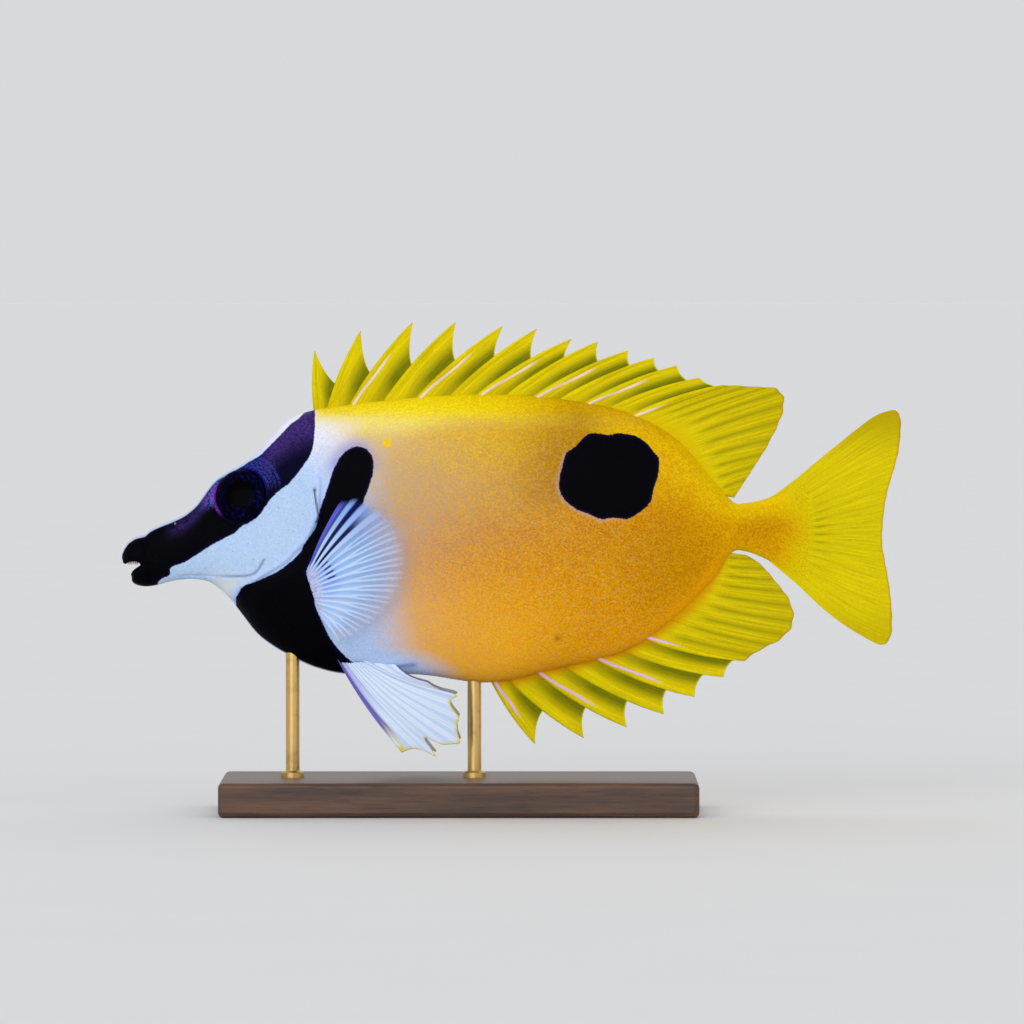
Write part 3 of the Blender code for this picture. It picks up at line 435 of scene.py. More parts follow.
class Graph:
    """Short calls for one material's nodes.

    A field's name stands for its value, and three display values for a colour.
    """

    def __init__(self, name):
        self.material = bpy.data.materials.new(name)
        self.material.use_nodes = True
        self.nodes = self.material.node_tree.nodes
        self.links = self.material.node_tree.links
        self.shader = self.nodes["Principled BSDF"]

    def feed(self, socket, value):
        if isinstance(value, str):
            value = self.field(value)
        if isinstance(value, Value):
            self.links.new(value.socket, socket)
        elif socket.type == "RGBA":
            socket.default_value = (*srgb(*value), 1.0)
        else:
            socket.default_value = value

    def wired(self, node, output, inputs):
        """One of a node's outputs, with these inputs fed."""
        for key, value in inputs.items():
            self.feed(node.inputs[key], value)
        return Value(self, node.outputs[output])

    def field(self, name):
        node = self.nodes.new("ShaderNodeAttribute")
        node.attribute_name = name
        return self.wired(node, "Fac", {})

    def math(self, operation, a, b=0.0, clamp=False):
        node = self.nodes.new("ShaderNodeMath")
        node.operation = operation
        node.use_clamp = clamp
        return self.wired(node, 0, {0: a, 1: b})

    def ramp(self, value, low, high):
        """A smooth step of value between low and high."""
        node = self.nodes.new("ShaderNodeMapRange")
        node.interpolation_type = "SMOOTHSTEP"
        return self.wired(node, "Result", {"Value": value, "From Min": low, "From Max": high})

    def mix(self, share, a, b):
        node = self.nodes.new("ShaderNodeMix")
        node.data_type = "RGBA"
        return self.wired(node, 2, {0: share, 6: a, 7: b})

    def place(self, scale=(1.0, 1.0, 1.0)):
        """Object coordinates in millimetres, scaled along each axis."""
        spot = self.wired(self.nodes.new("ShaderNodeTexCoord"), "Object", {})
        mapping = self.nodes.new("ShaderNodeMapping")
        return self.wired(mapping, "Vector", {"Vector": spot, "Scale": tuple(k / MM for k in scale)})

    def combine(self, x, y):
        return self.wired(self.nodes.new("ShaderNodeCombineXYZ"), 0, {0: x, 1: y})

    def noise(self, vector, scale, detail=3.0, roughness=0.5):
        node = self.nodes.new("ShaderNodeTexNoise")
        inputs = {"Vector": vector, "Scale": scale, "Detail": detail, "Roughness": roughness}
        return self.wired(node, "Fac", inputs)

    def cells(self, vector, scale, randomness, output="Distance"):
        """Distance from the nearest cell's centre."""
        node = self.nodes.new("ShaderNodeTexVoronoi")
        return self.wired(node, output, {"Vector": vector, "Scale": scale, "Randomness": randomness})

    def cell_tone(self, vector, scale, randomness):
        """A random value for each cell."""
        colour = self.cells(vector, scale, randomness, "Color")
        return self.wired(self.nodes.new("ShaderNodeSeparateColor"), 0, {0: colour})

    def bump(self, height, depth, strength=1.0):
        """A bump of this depth in millimetres."""
        node = self.nodes.new("ShaderNodeBump")
        return self.wired(node, "Normal", {"Distance": depth * MM, "Strength": strength, "Height": height})

    def finish(self, **sockets):
        for name, value in sockets.items():
            self.feed(self.shader.inputs[name.replace("_", " ")], value)
        return self.material


class Coat:
    """A colour over which tints are laid in turn."""

    def __init__(self, graph, colour):
        self.graph, self.colour = graph, colour

    def tint(self, share, over, strength=1.0):
        if strength != 1.0:
            share = self.graph.math("MULTIPLY", share, strength)
        self.colour = self.graph.mix(share, self.colour, over)


# Flesh

def section_fullness(s):
    """Exponents of the section's upper and lower half."""
    upper = 0.62 + 0.36 * rising(30.0, 62.0, s)
    lower = 0.85 + 0.4 * rising(18.0, 34.0, s) * falling(60.0, 90.0, s)
    return upper, lower


def flesh_rows(head_step, trunk_step):
    """Sections along the whole fish, closer together in the head."""
    shares, last = [], len(FLESH_SECTIONS) - 1
    for i in range(last):
        here, after = np.array(FLESH_SECTIONS[i]), np.array(FLESH_SECTIONS[i + 1])
        apart = np.linalg.norm((here[:2] + here[2:4] - after[:2] - after[2:4]) / 2)
        parts = max(1, round(apart / (head_step if here[0] < HEAD_END else trunk_step)))
        shares += [(i + k / parts) / last for k in range(parts)]
    rows = catmull_rom(FLESH_SECTIONS, shares + [1.0])
    rows[:, 4] = np.maximum(rows[:, 4], 0.05)
    return rows


def section_rings(rows, around):
    """Points (s, h, y) round every section, from the back down one side and up the other."""
    cosine, sine = np.cos(full_turn(around)), np.sin(full_turn(around))
    top, bottom, half = rows[:, 0:2], rows[:, 2:4], rows[:, 4:5]
    widest = (0.52 - 0.06 * rising(20.0, 60.0, top[:, 0]))[:, None]
    upper, lower = (power[:, None] for power in section_fullness(top[:, 0]))
    share = np.where(cosine >= 0, widest * (1 - cosine), widest - (1 - widest) * cosine)
    width = np.where(cosine >= 0, np.abs(sine) ** upper, np.abs(sine) ** lower)
    spots = top[:, None, :] + (bottom - top)[:, None, :] * share[..., None]
    y = half * width * np.sign(np.where(np.abs(sine) < 1e-9, 0.0, sine))
    return np.dstack((spots, y))


def gill_edge_s(h):
    edge = np.array(GILL_EDGE)[::-1]
    return np.interp(h, edge[:, 1], edge[:, 0])


def contour(side):
    """The flesh's back or belly line as arrays of s and h."""
    rows = flesh_rows(1.0, 1.0)
    return rows[:, 2 * side], rows[:, 2 * side + 1]


def eye_axis(side):
    axis = Vector((-math.tan(math.radians(EYE_TILT_FORWARD)), side, math.tan(math.radians(EYE_TILT_UP))))
    return axis.normalized()


def eye_distance(points):
    """Distance from the axis of the eye on the same side, for each point (s, h, y)."""
    axis = eye_axis(RIGHT)
    axis = np.array((axis.x, axis.z, axis.y))
    away = np.stack((points[..., 0] - EYE_CENTRE[0], points[..., 1] - EYE_CENTRE[1],
                     np.abs(points[..., 2]) - EYE_OUT), -1)
    return np.linalg.norm(away - (away @ axis)[..., None] * axis, axis=-1)


def skin_relief(points):
    """How far the skin stands out or in at each point: eye rims, gill cover, creases and nostrils."""
    s, h = points[..., 0], points[..., 1]
    behind = s - gill_edge_s(h)
    level = window(h, 44.0, 52.0, 72.0, 82.0)
    cover = -GILL_STEP_DEPTH * window(behind, -0.15, 0.25, 0.5, GILL_STEP_REACH)
    cover = level * (cover - 0.35 * bell(behind - 0.35, 0.4) + 0.12 * bell(behind + 0.9, 0.8))
    orbit = eye_distance(points)
    rim = 0.34 * bell(orbit - EYE_RIM, 0.7) - 2.6 * falling(5.0, 6.3, orbit)
    wrinkles = 0.1 * bell(orbit - 8.1, 0.4) - 0.1 * bell(orbit - 7.5, 0.3) - 0.07 * bell(orbit - 8.8, 0.3)
    rim += (0.5 + 0.5 * rising(-2.0, 3.0, h - EYE_CENTRE[1] - 2.0)) * wrinkles
    creases = 0.26 * near_line(catmull_rom(CHEEK_LINE, CHEEK_STEPS), s, h, 0.3)
    creases += sum(0.2 * near_line(crease, s, h, 0.4) for crease in LIP_CREASES)
    creases += 0.15 * near_line(BELLY_FOLD, s, h, 0.35) - 0.05 * near_line(LATERAL_LINE, s, h, 0.3)
    gape = line_distance(MOUTH_GAPE[LIP_EDGE], s, h)
    lips = (0.14 * bell(gape - 1.2, 0.8) - 0.6 * bell(gape, 0.45)) * (s < LIPS_END)
    nostrils = 0.0
    for place_s, place_h, radius in NOSTRILS:
        away = np.hypot(s - place_s, h - place_h)
        nostrils = nostrils + 0.2 * bell(away - 1.5 * radius, 0.3)
        nostrils -= 0.8 * falling(0.4 * radius, 1.1 * radius, away)
    side = rising(0.6, 2.0, np.abs(points[..., 2]))
    return (cover + rim - creases + nostrils) * side + lips


def blotch_outline():
    reach = np.array(BLOTCH_REACH)
    turn = np.radians(10.0 * np.arange(len(reach)))
    corners = np.stack((reach * np.cos(turn), reach * np.sin(turn)), -1) + BLOTCH_CENTRE
    return smooth_outline(corners, BLOTCH_POINTS)


def skin_fields(points):
    """The markings: distances inside the black marks in millimetres, and shares of each tint."""
    s, h = points[:, 0], points[:, 1]
    top, bottom = (np.interp(s, *contour(side)) for side in (BACK, BELLY))
    down, up = top - h, h - bottom
    low = np.clip(down / (top - bottom), 0, 1)
    bar, mask, chest = (inside_distance(smooth_outline(mark, count), s, h) for mark, count in MARKS)
    blotch = inside_distance(blotch_outline(), s, h)
    toward_head = BLOTCH_CENTRE[0] - s + 0.8 * (BLOTCH_CENTRE[1] - h)
    orbit = eye_distance(points)
    bearing = np.degrees(np.arctan2(h - EYE_CENTRE[1], s - EYE_CENTRE[0])) % 360
    lag = 0.05 * falling(62.0, 82.0, s)
    warm = 0.65 * rising(0.02, 0.13, low - lag) + 0.35 * rising(0.15, 0.55, low)
    warm = np.maximum(warm, 0.55 * rising(58.0, 116.0, s)) * (1 - 0.15 * rising(124.0, 142.0, s))
    amber = (bell(np.hypot((s - 127.0) * 0.8, h - 59.5), 10.5),
             0.55 * bell(down - 0.9, 2.4) * window(s, 104.0, 124.0, 146.0, 152.0),
             0.8 * bell(np.hypot((s - 147.5) * 0.4, (h - 65.8) * 1.1), 3.2))
    sallow = np.maximum(bell(down, 2.0), 0.8 * bell(up, 1.6) * rising(138.0, 144.0, s))
    end, fade = np.interp(h, WHITE_LEVELS, WHITE_ENDS), np.interp(h, WHITE_LEVELS, WHITE_FADES)
    haze = 0.26 - 0.17 * rising(64.0, 73.0, h) + 0.07 * rising(80.0, 86.0, h)
    haze *= np.exp((62.0 - np.maximum(s, 62.0)) / (9.0 + 11.0 * rising(86.5, 91.0, h)))
    white = (falling(end, end + fade, s), falling(43.0, 46.5, s), haze * falling(89.0, 93.5, h))
    # Near-black painted shade in the gill opening behind the gill cover.
    gill_slit_shade = (near_line(GILL_SLIT, s, h, 0.2), near_spot(GILL_SLIT[0], s, h, 0.4),
            near_spot(GILL_SLIT[-1], s, h, 0.4))
    # Pale blue lines along the snout's top and the chest's lower edge, partly the fish's own colour and
    # partly painted rim light, and a painted highlight at the front nostril.
    rim = (bell(down, 0.5) * falling(33.0, 38.0, s), 0.5 * near_spot(NOSTRIL_GLINT, s, h, 0.34),
           0.7 * bell(up, 0.32) * window(s, 24.0, 30.0, 50.0, 56.0))
    violet = (window(s, 31.0, 35.5, 46.0, 50.0) * falling(2.5, 10.5, down),
              0.55 * bell(down - 2.2, 1.6) * window(s, 9.0, 15.0, 24.0, 28.0))
    wrinkle = sum(bell(orbit - reach, 0.2) for reach in EYE_WRINKLES)
    return {
        "black": np.maximum.reduce((bar, mask, chest, blotch)),
        "halo": bell(blotch, 0.7) * rising(2.0, 9.0, toward_head),
        "white": np.maximum.reduce(white),
        "warm": warm,
        "amber": np.maximum.reduce(amber),
        "sallow": sallow * window(s, 122.0, 136.0, 155.0, 160.0),
        "pale": window(s, 56.0, 72.0, 108.0, 134.0) * rising(0.07, 0.2, low),
        # Orange band along the belly's lower edge, partly its own colour and partly painted light.
        "low_edge_and_underlight": bell(up, 3.6) * window(s, 88.0, 104.0, 136.0, 144.0),
        "tail": rising(152.0, 162.0, s + 0.45 * np.abs(h - TAIL_AXIS_H)),
        "peach": bell(s - 62.0, 27.0) * bell(h - 76.0 + 0.1 * (s - 62.0), 11.0),
        # Bluish painted shade in the belly's crease by the pelvic fins.
        "fold_shade": near_line(BELLY_FOLD, s, h, 0.75),
        "cool": falling(75.0, 90.0, h),
        # Lower flank lightened: painted light from below.
        "painted_underlight": rising(0.38, 1.0, low) * (1 - 0.6 * rising(86.0, 112.0, s))
        * falling(112.0, 130.0, s),
        "dusk": bell(blotch, 11.0) * falling(104.0, 118.0, s) * rising(66.0, 76.0, h),
        "violet": np.maximum.reduce(violet),
        "brow": window(s, 24.0, 27.0, 31.5, 36.0) * falling(1.5, 6.0, down),
        "indigo": window(s, 26.0, 34.0, 46.0, 49.0) * rising(72.0, 78.0, h),
        "bar_shade": bell(np.minimum(bar, 0.0), 2.0) * rising(77.0, 81.0, h)
        * (1 - 0.5 * rising(54.0, 60.0, s)),
        "cheek": rising(0.0, 4.0, gill_edge_s(h) - s) * falling(76.0, 84.0, h),
        "throat": bell(np.hypot((s - 24.5) * 0.8, h - 51.0), 3.4),
        "orbit": bell(orbit - EYE_RING, 0.25),
        "front": window(bearing, 138.0, 160.0, 212.0, 234.0),
        "rear": falling(50.0, 85.0, bearing),
        "beads": bell(np.maximum(orbit - 6.9, 0.0), 2.6) * rising(6.3, 6.7, orbit)
        * window(bearing, 92.0, 118.0, 188.0, 208.0),
        "gold": near_spot(GOLD_SPOT, s, h, 0.9),
        "fleck": near_spot(BROWN_FLECK, s, h, 0.6),
        "rim": np.maximum.reduce(rim),
        "gill_slit_shade": np.maximum.reduce(gill_slit_shade),
        "wrinkle": wrinkle * window(bearing, 8.0, 28.0, 78.0, 100.0),
        # Painted shade along the cheek crease.
        "crease": near_line(catmull_rom(CHEEK_LINE, CHEEK_STEPS), s, h, 0.26) * rising(20.0, 27.0, s),
        "lateral": near_line(LATERAL_LINE, s, h, 0.35),
    }


def skin_material():
    g = Graph("foxface_skin")
    grain = g.place()
    tone = g.cell_tone(grain, 3.1, 0.85)
    fine = g.noise(grain, 2.6, 4.0, 0.6)
    cloud = g.noise(grain, 0.1, 3.0, 0.55) - 0.5

    def scaly(one, other):
        return g.mix(tone, one, other)

    skin = Coat(g, scaly((255, 240, 8), (244, 208, 0)))
    skin.tint(g.math("ADD", "warm", cloud * 0.3, clamp=True), scaly((226, 156, 0), (186, 112, 0)))
    for name, strength, one, other in FLANK_TINTS:
        skin.tint(name, scaly(one, other), strength)
    peach = g.field("peach") * (0.35 + g.ramp(fine + tone, 0.55, 1.2) * 0.65)
    skin.tint(peach, (198, 164, 126), 0.85)
    skin.tint("tail", g.mix(g.ramp(fine, 0.3, 0.7), (200, 172, 0), (232, 210, 6)))

    cheek = Coat(g, scaly((174, 204, 242), (194, 218, 246)))
    cheek.tint(g.ramp(g.cells(grain, 0.6, 0.95), 0.2, 0.08), (128, 156, 200), 0.4)
    cheek.tint("throat", (236, 232, 222), 0.8)
    pearl = Coat(g, scaly((226, 226, 250), (246, 245, 255)))
    pearl.tint("cool", scaly((176, 204, 252), (198, 220, 255)))
    pearl.tint("cheek", cheek.colour)
    white = g.field("white")
    ragged = white * (1 - white) * ((tone - 0.5) * 1.2)
    skin.tint(g.math("ADD", white, ragged, clamp=True), pearl.colour)

    skin.tint(g.field("bar_shade") * (0.5 + tone * 0.5), (104, 106, 204), 0.62)
    skin.tint(g.ramp(g.cell_tone(grain, 2.3, 1.0), 0.74, 0.84) * g.field("pale"), (206, 180, 130), 0.2)
    # Painted shade in the belly crease.
    skin.tint("fold_shade", (106, 120, 184), 0.7)
    # Painted shade in the cheek crease.
    skin.tint("crease", (84, 100, 150), 0.7)
    # Painted shade in the gill opening.
    skin.tint("gill_slit_shade", (10, 8, 30))
    skin.tint(g.ramp("gold", 0.1, 0.6), (250, 204, 6))
    skin.tint("fleck", (110, 66, 8), 0.7)
    skin.tint(g.ramp("halo", 0.1, 0.8) * g.ramp(fine, 0.35, 0.6), (196, 184, 190), 0.4)

    plates = g.cell_tone(grain, 0.95, 0.9)
    edge = g.field("black") + (tone - 0.5) * 0.14 + (plates - 0.5) * 0.1
    ink = Coat(g, g.mix(g.field("indigo") * 0.6, (1, 1, 6), (8, 3, 46)))
    ink.tint(g.field("violet") * (0.42 + g.ramp(fine + tone, 0.5, 1.4) * 0.58), (70, 50, 124))
    ink.tint(g.field("brow") * g.ramp(fine, 0.4, 0.66), (46, 50, 172), 0.8)
    ink.tint(g.field("wrinkle") * g.ramp(fine, 0.38, 0.56), (72, 84, 206), 0.75)
    hue = g.ramp(g.cell_tone(grain, 2.2, 0.9), 0.35, 0.65)
    bead = g.field("beads") * g.ramp(g.cells(grain, 2.2, 0.9), 0.75, 0.35)
    ink.tint(bead, g.mix(hue, (70, 124, 226), (150, 62, 204)), 0.8)
    ink.tint(g.ramp(edge, 1.0, 0.1), (24, 10, 76), 0.3)
    # Painted rim light and nostril highlight, partly the fish's own pale edge lines.
    ink.tint(g.ramp("rim", 0.18, 0.62), g.mix("beads", (196, 212, 248), (84, 150, 242)), 0.95)
    skin.tint(g.ramp(edge, -0.1, 0.16), ink.colour)

    ends = g.math("ADD", "front", "rear", clamp=True)
    ring = g.field("orbit") * (0.15 + ends * 0.8) * g.ramp(fine, 0.25, 0.65)
    skin.tint(ring, g.mix("front", (18, 26, 130), (150, 62, 218)))
    pebble = 1 - g.cells(grain, 3.1, 0.85)
    height = pebble * 0.8 + fine * 0.35 + g.field("lateral") * 0.5
    return g.finish(Base_Color=skin.colour, Roughness=0.38 + fine * 0.2, Specular_IOR_Level=0.03,
                    Normal=g.bump(height, 0.08), Subsurface_Weight=0.08,
                    Subsurface_Radius=(1.0, 0.4, 0.15), Subsurface_Scale=1.0 * MM)


def mouth_material():
    g = Graph("mouth_lining")
    folds = g.noise(g.place((1.0, 0.4, 1.0)), 1.4, 3.0)
    return g.finish(Base_Color=g.mix(folds, (26, 10, 16), (70, 30, 40)), Roughness=0.3,
                    Normal=g.bump(folds, 0.1))


def make_skin():
    """One skin over head, trunk and tail base, with its mouth cut open."""
    rings = section_rings(flesh_rows(HEAD_STEP, TRUNK_STEP), SKIN_AROUND)
    along = np.gradient(rings, axis=0)
    round_it = np.roll(rings, -1, axis=1) - np.roll(rings, 1, axis=1)
    normal = np.cross(along, round_it)
    normal /= np.linalg.norm(normal, axis=-1, keepdims=True) + 1e-12
    outward = np.sign(np.sum(normal * (rings - rings.mean(axis=1, keepdims=True)), axis=-1, keepdims=True))
    fade = rising(0.0, 2.0, rings[..., 0])[..., None]
    rings = rings + normal * outward * skin_relief(rings)[..., None] * fade
    rows, around = rings.shape[:2]
    corners = row_frame(rings.transpose(1, 0, 2).reshape(-1, 3))
    faces = grid_faces(around, rows, closed=True).tolist()
    faces.append([k * rows for k in range(around)])
    faces.append([k * rows + rows - 1 for k in range(around)][::-1])
    skin = mesh_piece("skin", corners, faces, {}, skin_material(),
                      ("head", "torso", "tail_base"))
    face_out(skin)
    cut_mouth(skin)
    points = np.empty(len(skin.data.vertices) * 3)
    skin.data.vertices.foreach_get("co", points)
    points = points.reshape(-1, 3) / MM
    points = np.stack((points[:, 0] + TOTAL_LENGTH / 2, points[:, 2], points[:, 1]), -1)
    store_fields(skin.data, skin_fields(points))


def face_out(piece):
    bm = bmesh.new()
    bm.from_mesh(piece.data)
    bmesh.ops.recalc_face_normals(bm, faces=bm.faces)
    bm.to_mesh(piece.data)
    bm.free()
    piece.data.shade_smooth()


def cut_mouth(skin):
    """Opens the gape through the snout, lined with its own material."""
    outline, other = (row_frame([(s, h, side * GAPE_HALF_WIDTH) for s, h in MOUTH_GAPE])
                      for side in (LEFT, RIGHT))
    count = len(outline)
    faces = [list(range(count)), list(range(count, 2 * count))[::-1]]
    faces += [[k, (k + 1) % count, count + (k + 1) % count, count + k] for k in range(count)]
    cutter = meshed("gape", np.vstack((outline, other)).tolist(), faces, mouth_material())
    face_out(cutter)
    cutter.data.shade_flat()
    cut = skin.modifiers.new("gape", "BOOLEAN")
    cut.object = cutter
    cut.operation = "DIFFERENCE"
    cut.solver = "EXACT"
    cut.material_mode = "TRANSFER"
    bpy.context.view_layer.update()
    made = bpy.data.meshes.new_from_object(skin.evaluated_get(bpy.context.evaluated_depsgraph_get()))
    skin.modifiers.clear()
    skin.data = made
    bpy.data.objects.remove(cutter)


# Fins

def root_point(side, s, sunk):
    """Points of a fin's root line on the back or belly, sunk into the flesh."""
    line_s, line_h = contour(side)
    s = np.asarray(s, float)
    step = 0.3
    h = np.interp(s, line_s, line_h)
    rise = np.interp(s + step, line_s, line_h) - np.interp(s - step, line_s, line_h)
    length = np.hypot(rise, 2 * step)
    out = np.stack((-rise / length, 2 * step / length), -1) * FIN_WAY[side]
    return np.stack((s, h), -1) - out * sunk


def thin_solid(columns, half, fields):
    """Both faces and the rim of a thin fin: corners, faces and fields from a grid of (s, h, y)."""
    count, rows = half.shape
    lifted = np.zeros_like(columns)
    lifted[..., 2] = half
    corners = np.concatenate(((columns + lifted).reshape(-1, 3), (columns - lifted).reshape(-1, 3)))
    sheet = grid_faces(count, rows)
    behind = count * rows
    border = np.concatenate((np.arange(rows), np.arange(1, count) * rows + rows - 1,
                             (count - 1) * rows + np.arange(rows - 2, -1, -1),
                             np.arange(count - 2, 0, -1) * rows))
    after = np.roll(border, -1)
    rim = np.stack((border, border + behind, after + behind, after), -1)
    faces = np.concatenate((sheet, sheet[:, ::-1] + behind, rim))
    return corners, faces, {key: np.tile(v, 2) for key, v in filled(fields, half.shape).items()}


def join(parts):
    """Several (corners, faces, fields) as one."""
    corners, faces, fields, start = [], [], {}, 0
    for some_corners, some_faces, some_fields in parts:
        corners.append(some_corners)
        faces.append(some_faces + start)
        for key, values in some_fields.items():
            fields.setdefault(key, []).append(values)
        start += len(some_corners)
    return np.concatenate(corners), np.concatenate(faces), {k: np.concatenate(v) for k, v in fields.items()}


def bowed(root, tip, t, lead):
    """Points along spines from root to tip, bowed a little towards the leading side."""
    along = tip - root
    side = np.stack((-along[..., 1], along[..., 0]), -1) * lead * SPINE_BOW
    straight = root[..., None, :] + along[..., None, :] * t[:, None]
    return straight + side[..., None, :] * (4 * t * (1 - t))[:, None]


def highlight_place(t):
    """How far behind a spine's middle its painted highlight line runs."""
    return 0.05 + 0.9 * rising(0.0, 0.5, t)


def spine_tube(line, half, lean, lead, highlit, number):
    """A round tapering spine along a line of (s, h) points."""
    rows, sides = len(line), 24
    turn = full_turn(sides)[:, None]
    along = np.gradient(line, axis=0)
    along /= np.linalg.norm(along, axis=1, keepdims=True)
    across = np.stack((-along[:, 1], along[:, 0]), -1)
    spots = line + across * (half * np.cos(turn))[..., None]
    corners = np.dstack((spots, lean + half * np.sin(turn) * 0.95)).reshape(-1, 3)
    t = np.linspace(0, 1, rows)
    # Distance from the painted highlight line on the spine.
    off = -lead * half * np.cos(turn) - highlight_place(t)
    fields = {"ray_u": number, "ray_t": t, "crest": 1.0, "shade": 0.0, "edge": 1.0,
              "painted_highlight_offset": off if highlit else NO_HIGHLIGHT}
    return corners, grid_faces(sides, rows, closed=True), filled(fields, (sides, rows))


def spiny_fin(side, spines, notches, highlit):
    """Round spines leaning by turns to either side, with a hollow-edged membrane behind each."""
    lead = FIN_WAY[side]
    t = np.linspace(0, 1, 44)
    roots = root_point(side, [spine[0] for spine in spines], FIN_SUNK)
    tips = np.array([spine[1:] for spine in spines], float)
    lines = bowed(roots, tips, t, lead)
    lean = [SPINE_LEAN * (LEFT if i + 1 in highlit else RIGHT) for i in range(len(spines))]
    parts = []
    for i, line in enumerate(lines):
        half = SPINE_HALF_ROOT * (1 - t) ** 0.75 + SPINE_HALF_TIP
        parts.append(spine_tube(line, half, lean[i] * (1 - t), lead, i + 1 in highlit, i))
        if not i:
            continue
        reach = notches[0] + (notches[1] - notches[0]) * (i - 1) / (len(spines) - 2)
        front, rear = lines[i - 1], bowed(roots[i:i + 1], tips[i:i + 1], t * reach, lead)[0]
        hollow_depth = MEMBRANE_HOLLOW * np.linalg.norm(front[-1] - rear[-1])
        inward = (roots[i - 1] + roots[i]) / 2 - (front[-1] + rear[-1]) / 2
        inward /= np.linalg.norm(inward)
        across = np.linspace(0, 1, 40)[:, None] ** 1.35
        sheet = front * (1 - across)[..., None] + rear * across[..., None]
        sheet += inward * (hollow_depth * 4 * across * (1 - across))[..., None] * (t ** 2)[:, None]
        y = (lean[i - 1] * (1 - across) + lean[i] * across) * (1 - t)
        y = y + 0.16 * np.sin(2 * np.pi * across) * np.sin(np.pi * t)
        blade = bell(across, 0.3) * (1 - t) ** 0.7
        shade = rising(0.2, 0.8, across) * (0.6 + 0.4 * rising(0.1, 0.6, t))
        off = NO_HIGHLIGHT
        # The painted highlight line carries on over the membrane behind a highlit spine.
        if i in highlit:
            run = np.gradient(front, axis=0)
            rear_of = np.stack((run[:, 1], -run[:, 0]), -1) * lead
            rear_of /= np.linalg.norm(run, axis=1, keepdims=True)
            off = ((sheet - front) * rear_of).sum(axis=-1) - highlight_place(t)
        raised = 0.14 * bell(off, 0.3) * rising(0.75, 0.6, t)
        half = MEMBRANE_HALF + 0.42 * blade + raised + 0.8 * np.exp(-t / 0.08)
        fields = {"ray_u": i - 1 + across, "ray_t": t, "crest": blade, "shade": shade, "edge": 1 - t,
                  "painted_highlight_offset": off}
        parts.append(thin_solid(np.dstack((sheet, y)), half, fields))
    return parts


def folded_rays(u, t, splits):
    """Height from 0 to 1 across soft rays as broad folds, which split further out."""
    offset = np.abs(u - np.round(u))
    height = 1 - (2 * offset) ** 2.4
    for place, width, start, depth in ((0.0, 0.075, 0.32, 0.5), (0.25, 0.05, 0.58, 0.4),
                                       (0.125, 0.03, 0.76, 0.3), (0.375, 0.03, 0.76, 0.3)):
        height = height - splits * depth * rising(start, start + 0.3, t) * bell(offset - place, width)
    return np.clip(height, 0, 1)


def soft_sheet(roots, tips, ray_at, t, lead, relief, flesh, per_ray=22, bow=1.0, scallop=0.012,
               splits=1.0, even=True):
    """A fan of soft rays between root and tip points; ray_at gives each point's ray number."""
    count = int(round((ray_at[-1] - ray_at[0]) * per_ray)) + 1
    u = np.linspace(ray_at[0], ray_at[-1], count)
    share = np.interp(u, ray_at, np.linspace(0, 1, len(ray_at)))
    root, tip = catmull_rom(roots, share), evenly(tips, count) if even else catmull_rom(tips, share)
    short = 1 - scallop * (0.5 - 0.5 * np.cos(2 * np.pi * u))
    tip = root + (tip - root) * short[:, None]
    sheet = bowed(root, tip, t, lead * bow)
    u = u[:, None]
    height = folded_rays(u, t, splits)
    half = MEMBRANE_HALF + relief * height * (1 - 0.6 * t) + flesh * np.exp(-t / 0.1)
    half = half * (1 - 0.55 * rising(0.93, 1.0, t))
    shade = 0.85 * (1 - height) ** 0.75 * rising(0.12, 0.36, t)
    fields = {"ray_u": u, "ray_t": t, "crest": height, "shade": shade, "edge": 1 - t, "painted_highlight_offset": NO_HIGHLIGHT}
    return sheet, half, fields


def median_soft(side, last_spine, rays):
    """The soft rays of a dorsal or anal fin, webbed to the last spine."""
    lead = FIN_WAY[side]
    rays = np.array((last_spine, *rays))
    roots = root_point(side, rays[:, 0], FIN_SUNK)
    t = np.linspace(0, 1, 70)
    ray_at = np.concatenate((np.arange(-1.0, len(rays) - 2), [len(rays) - 2.5]))
    sheet, half, fields = soft_sheet(roots, rays[:, 1:], ray_at, t, lead, RAY_RELIEF, flesh=1.3, bow=0.5,
                                     even=False)
    wave = 0.12 * np.sin(2 * np.pi * fields["ray_u"] / 3.1) * t ** 2
    return thin_solid(np.dstack((sheet, wave)), half, fields)


def make_median_fins(yellow):
    for name, side, spines, notches, soft, highlit in (
            ("dorsal_fin", BACK, DORSAL_SPINES, DORSAL_NOTCHES, DORSAL_RAYS, DORSAL_HIGHLIT),
            ("anal_fin", BELLY, ANAL_SPINES, ANAL_NOTCHES, ANAL_RAYS, ANAL_HIGHLIT)):
        parts = spiny_fin(side, spines, notches, highlit)
        parts.append(median_soft(side, spines[-1], soft))
        corners, faces, fields = join(parts)
        fields["amber"] = 1.0 if side == BELLY else rising(96.0, 122.0, corners[:, 0])
        fields["soft"] = np.arange(len(corners)) >= len(corners) - len(parts[-1][0])
        fields["under"] = side
        mesh_piece(name, row_frame(corners), faces, fields, yellow,
                   (name + "_spines", name + "_rays"))


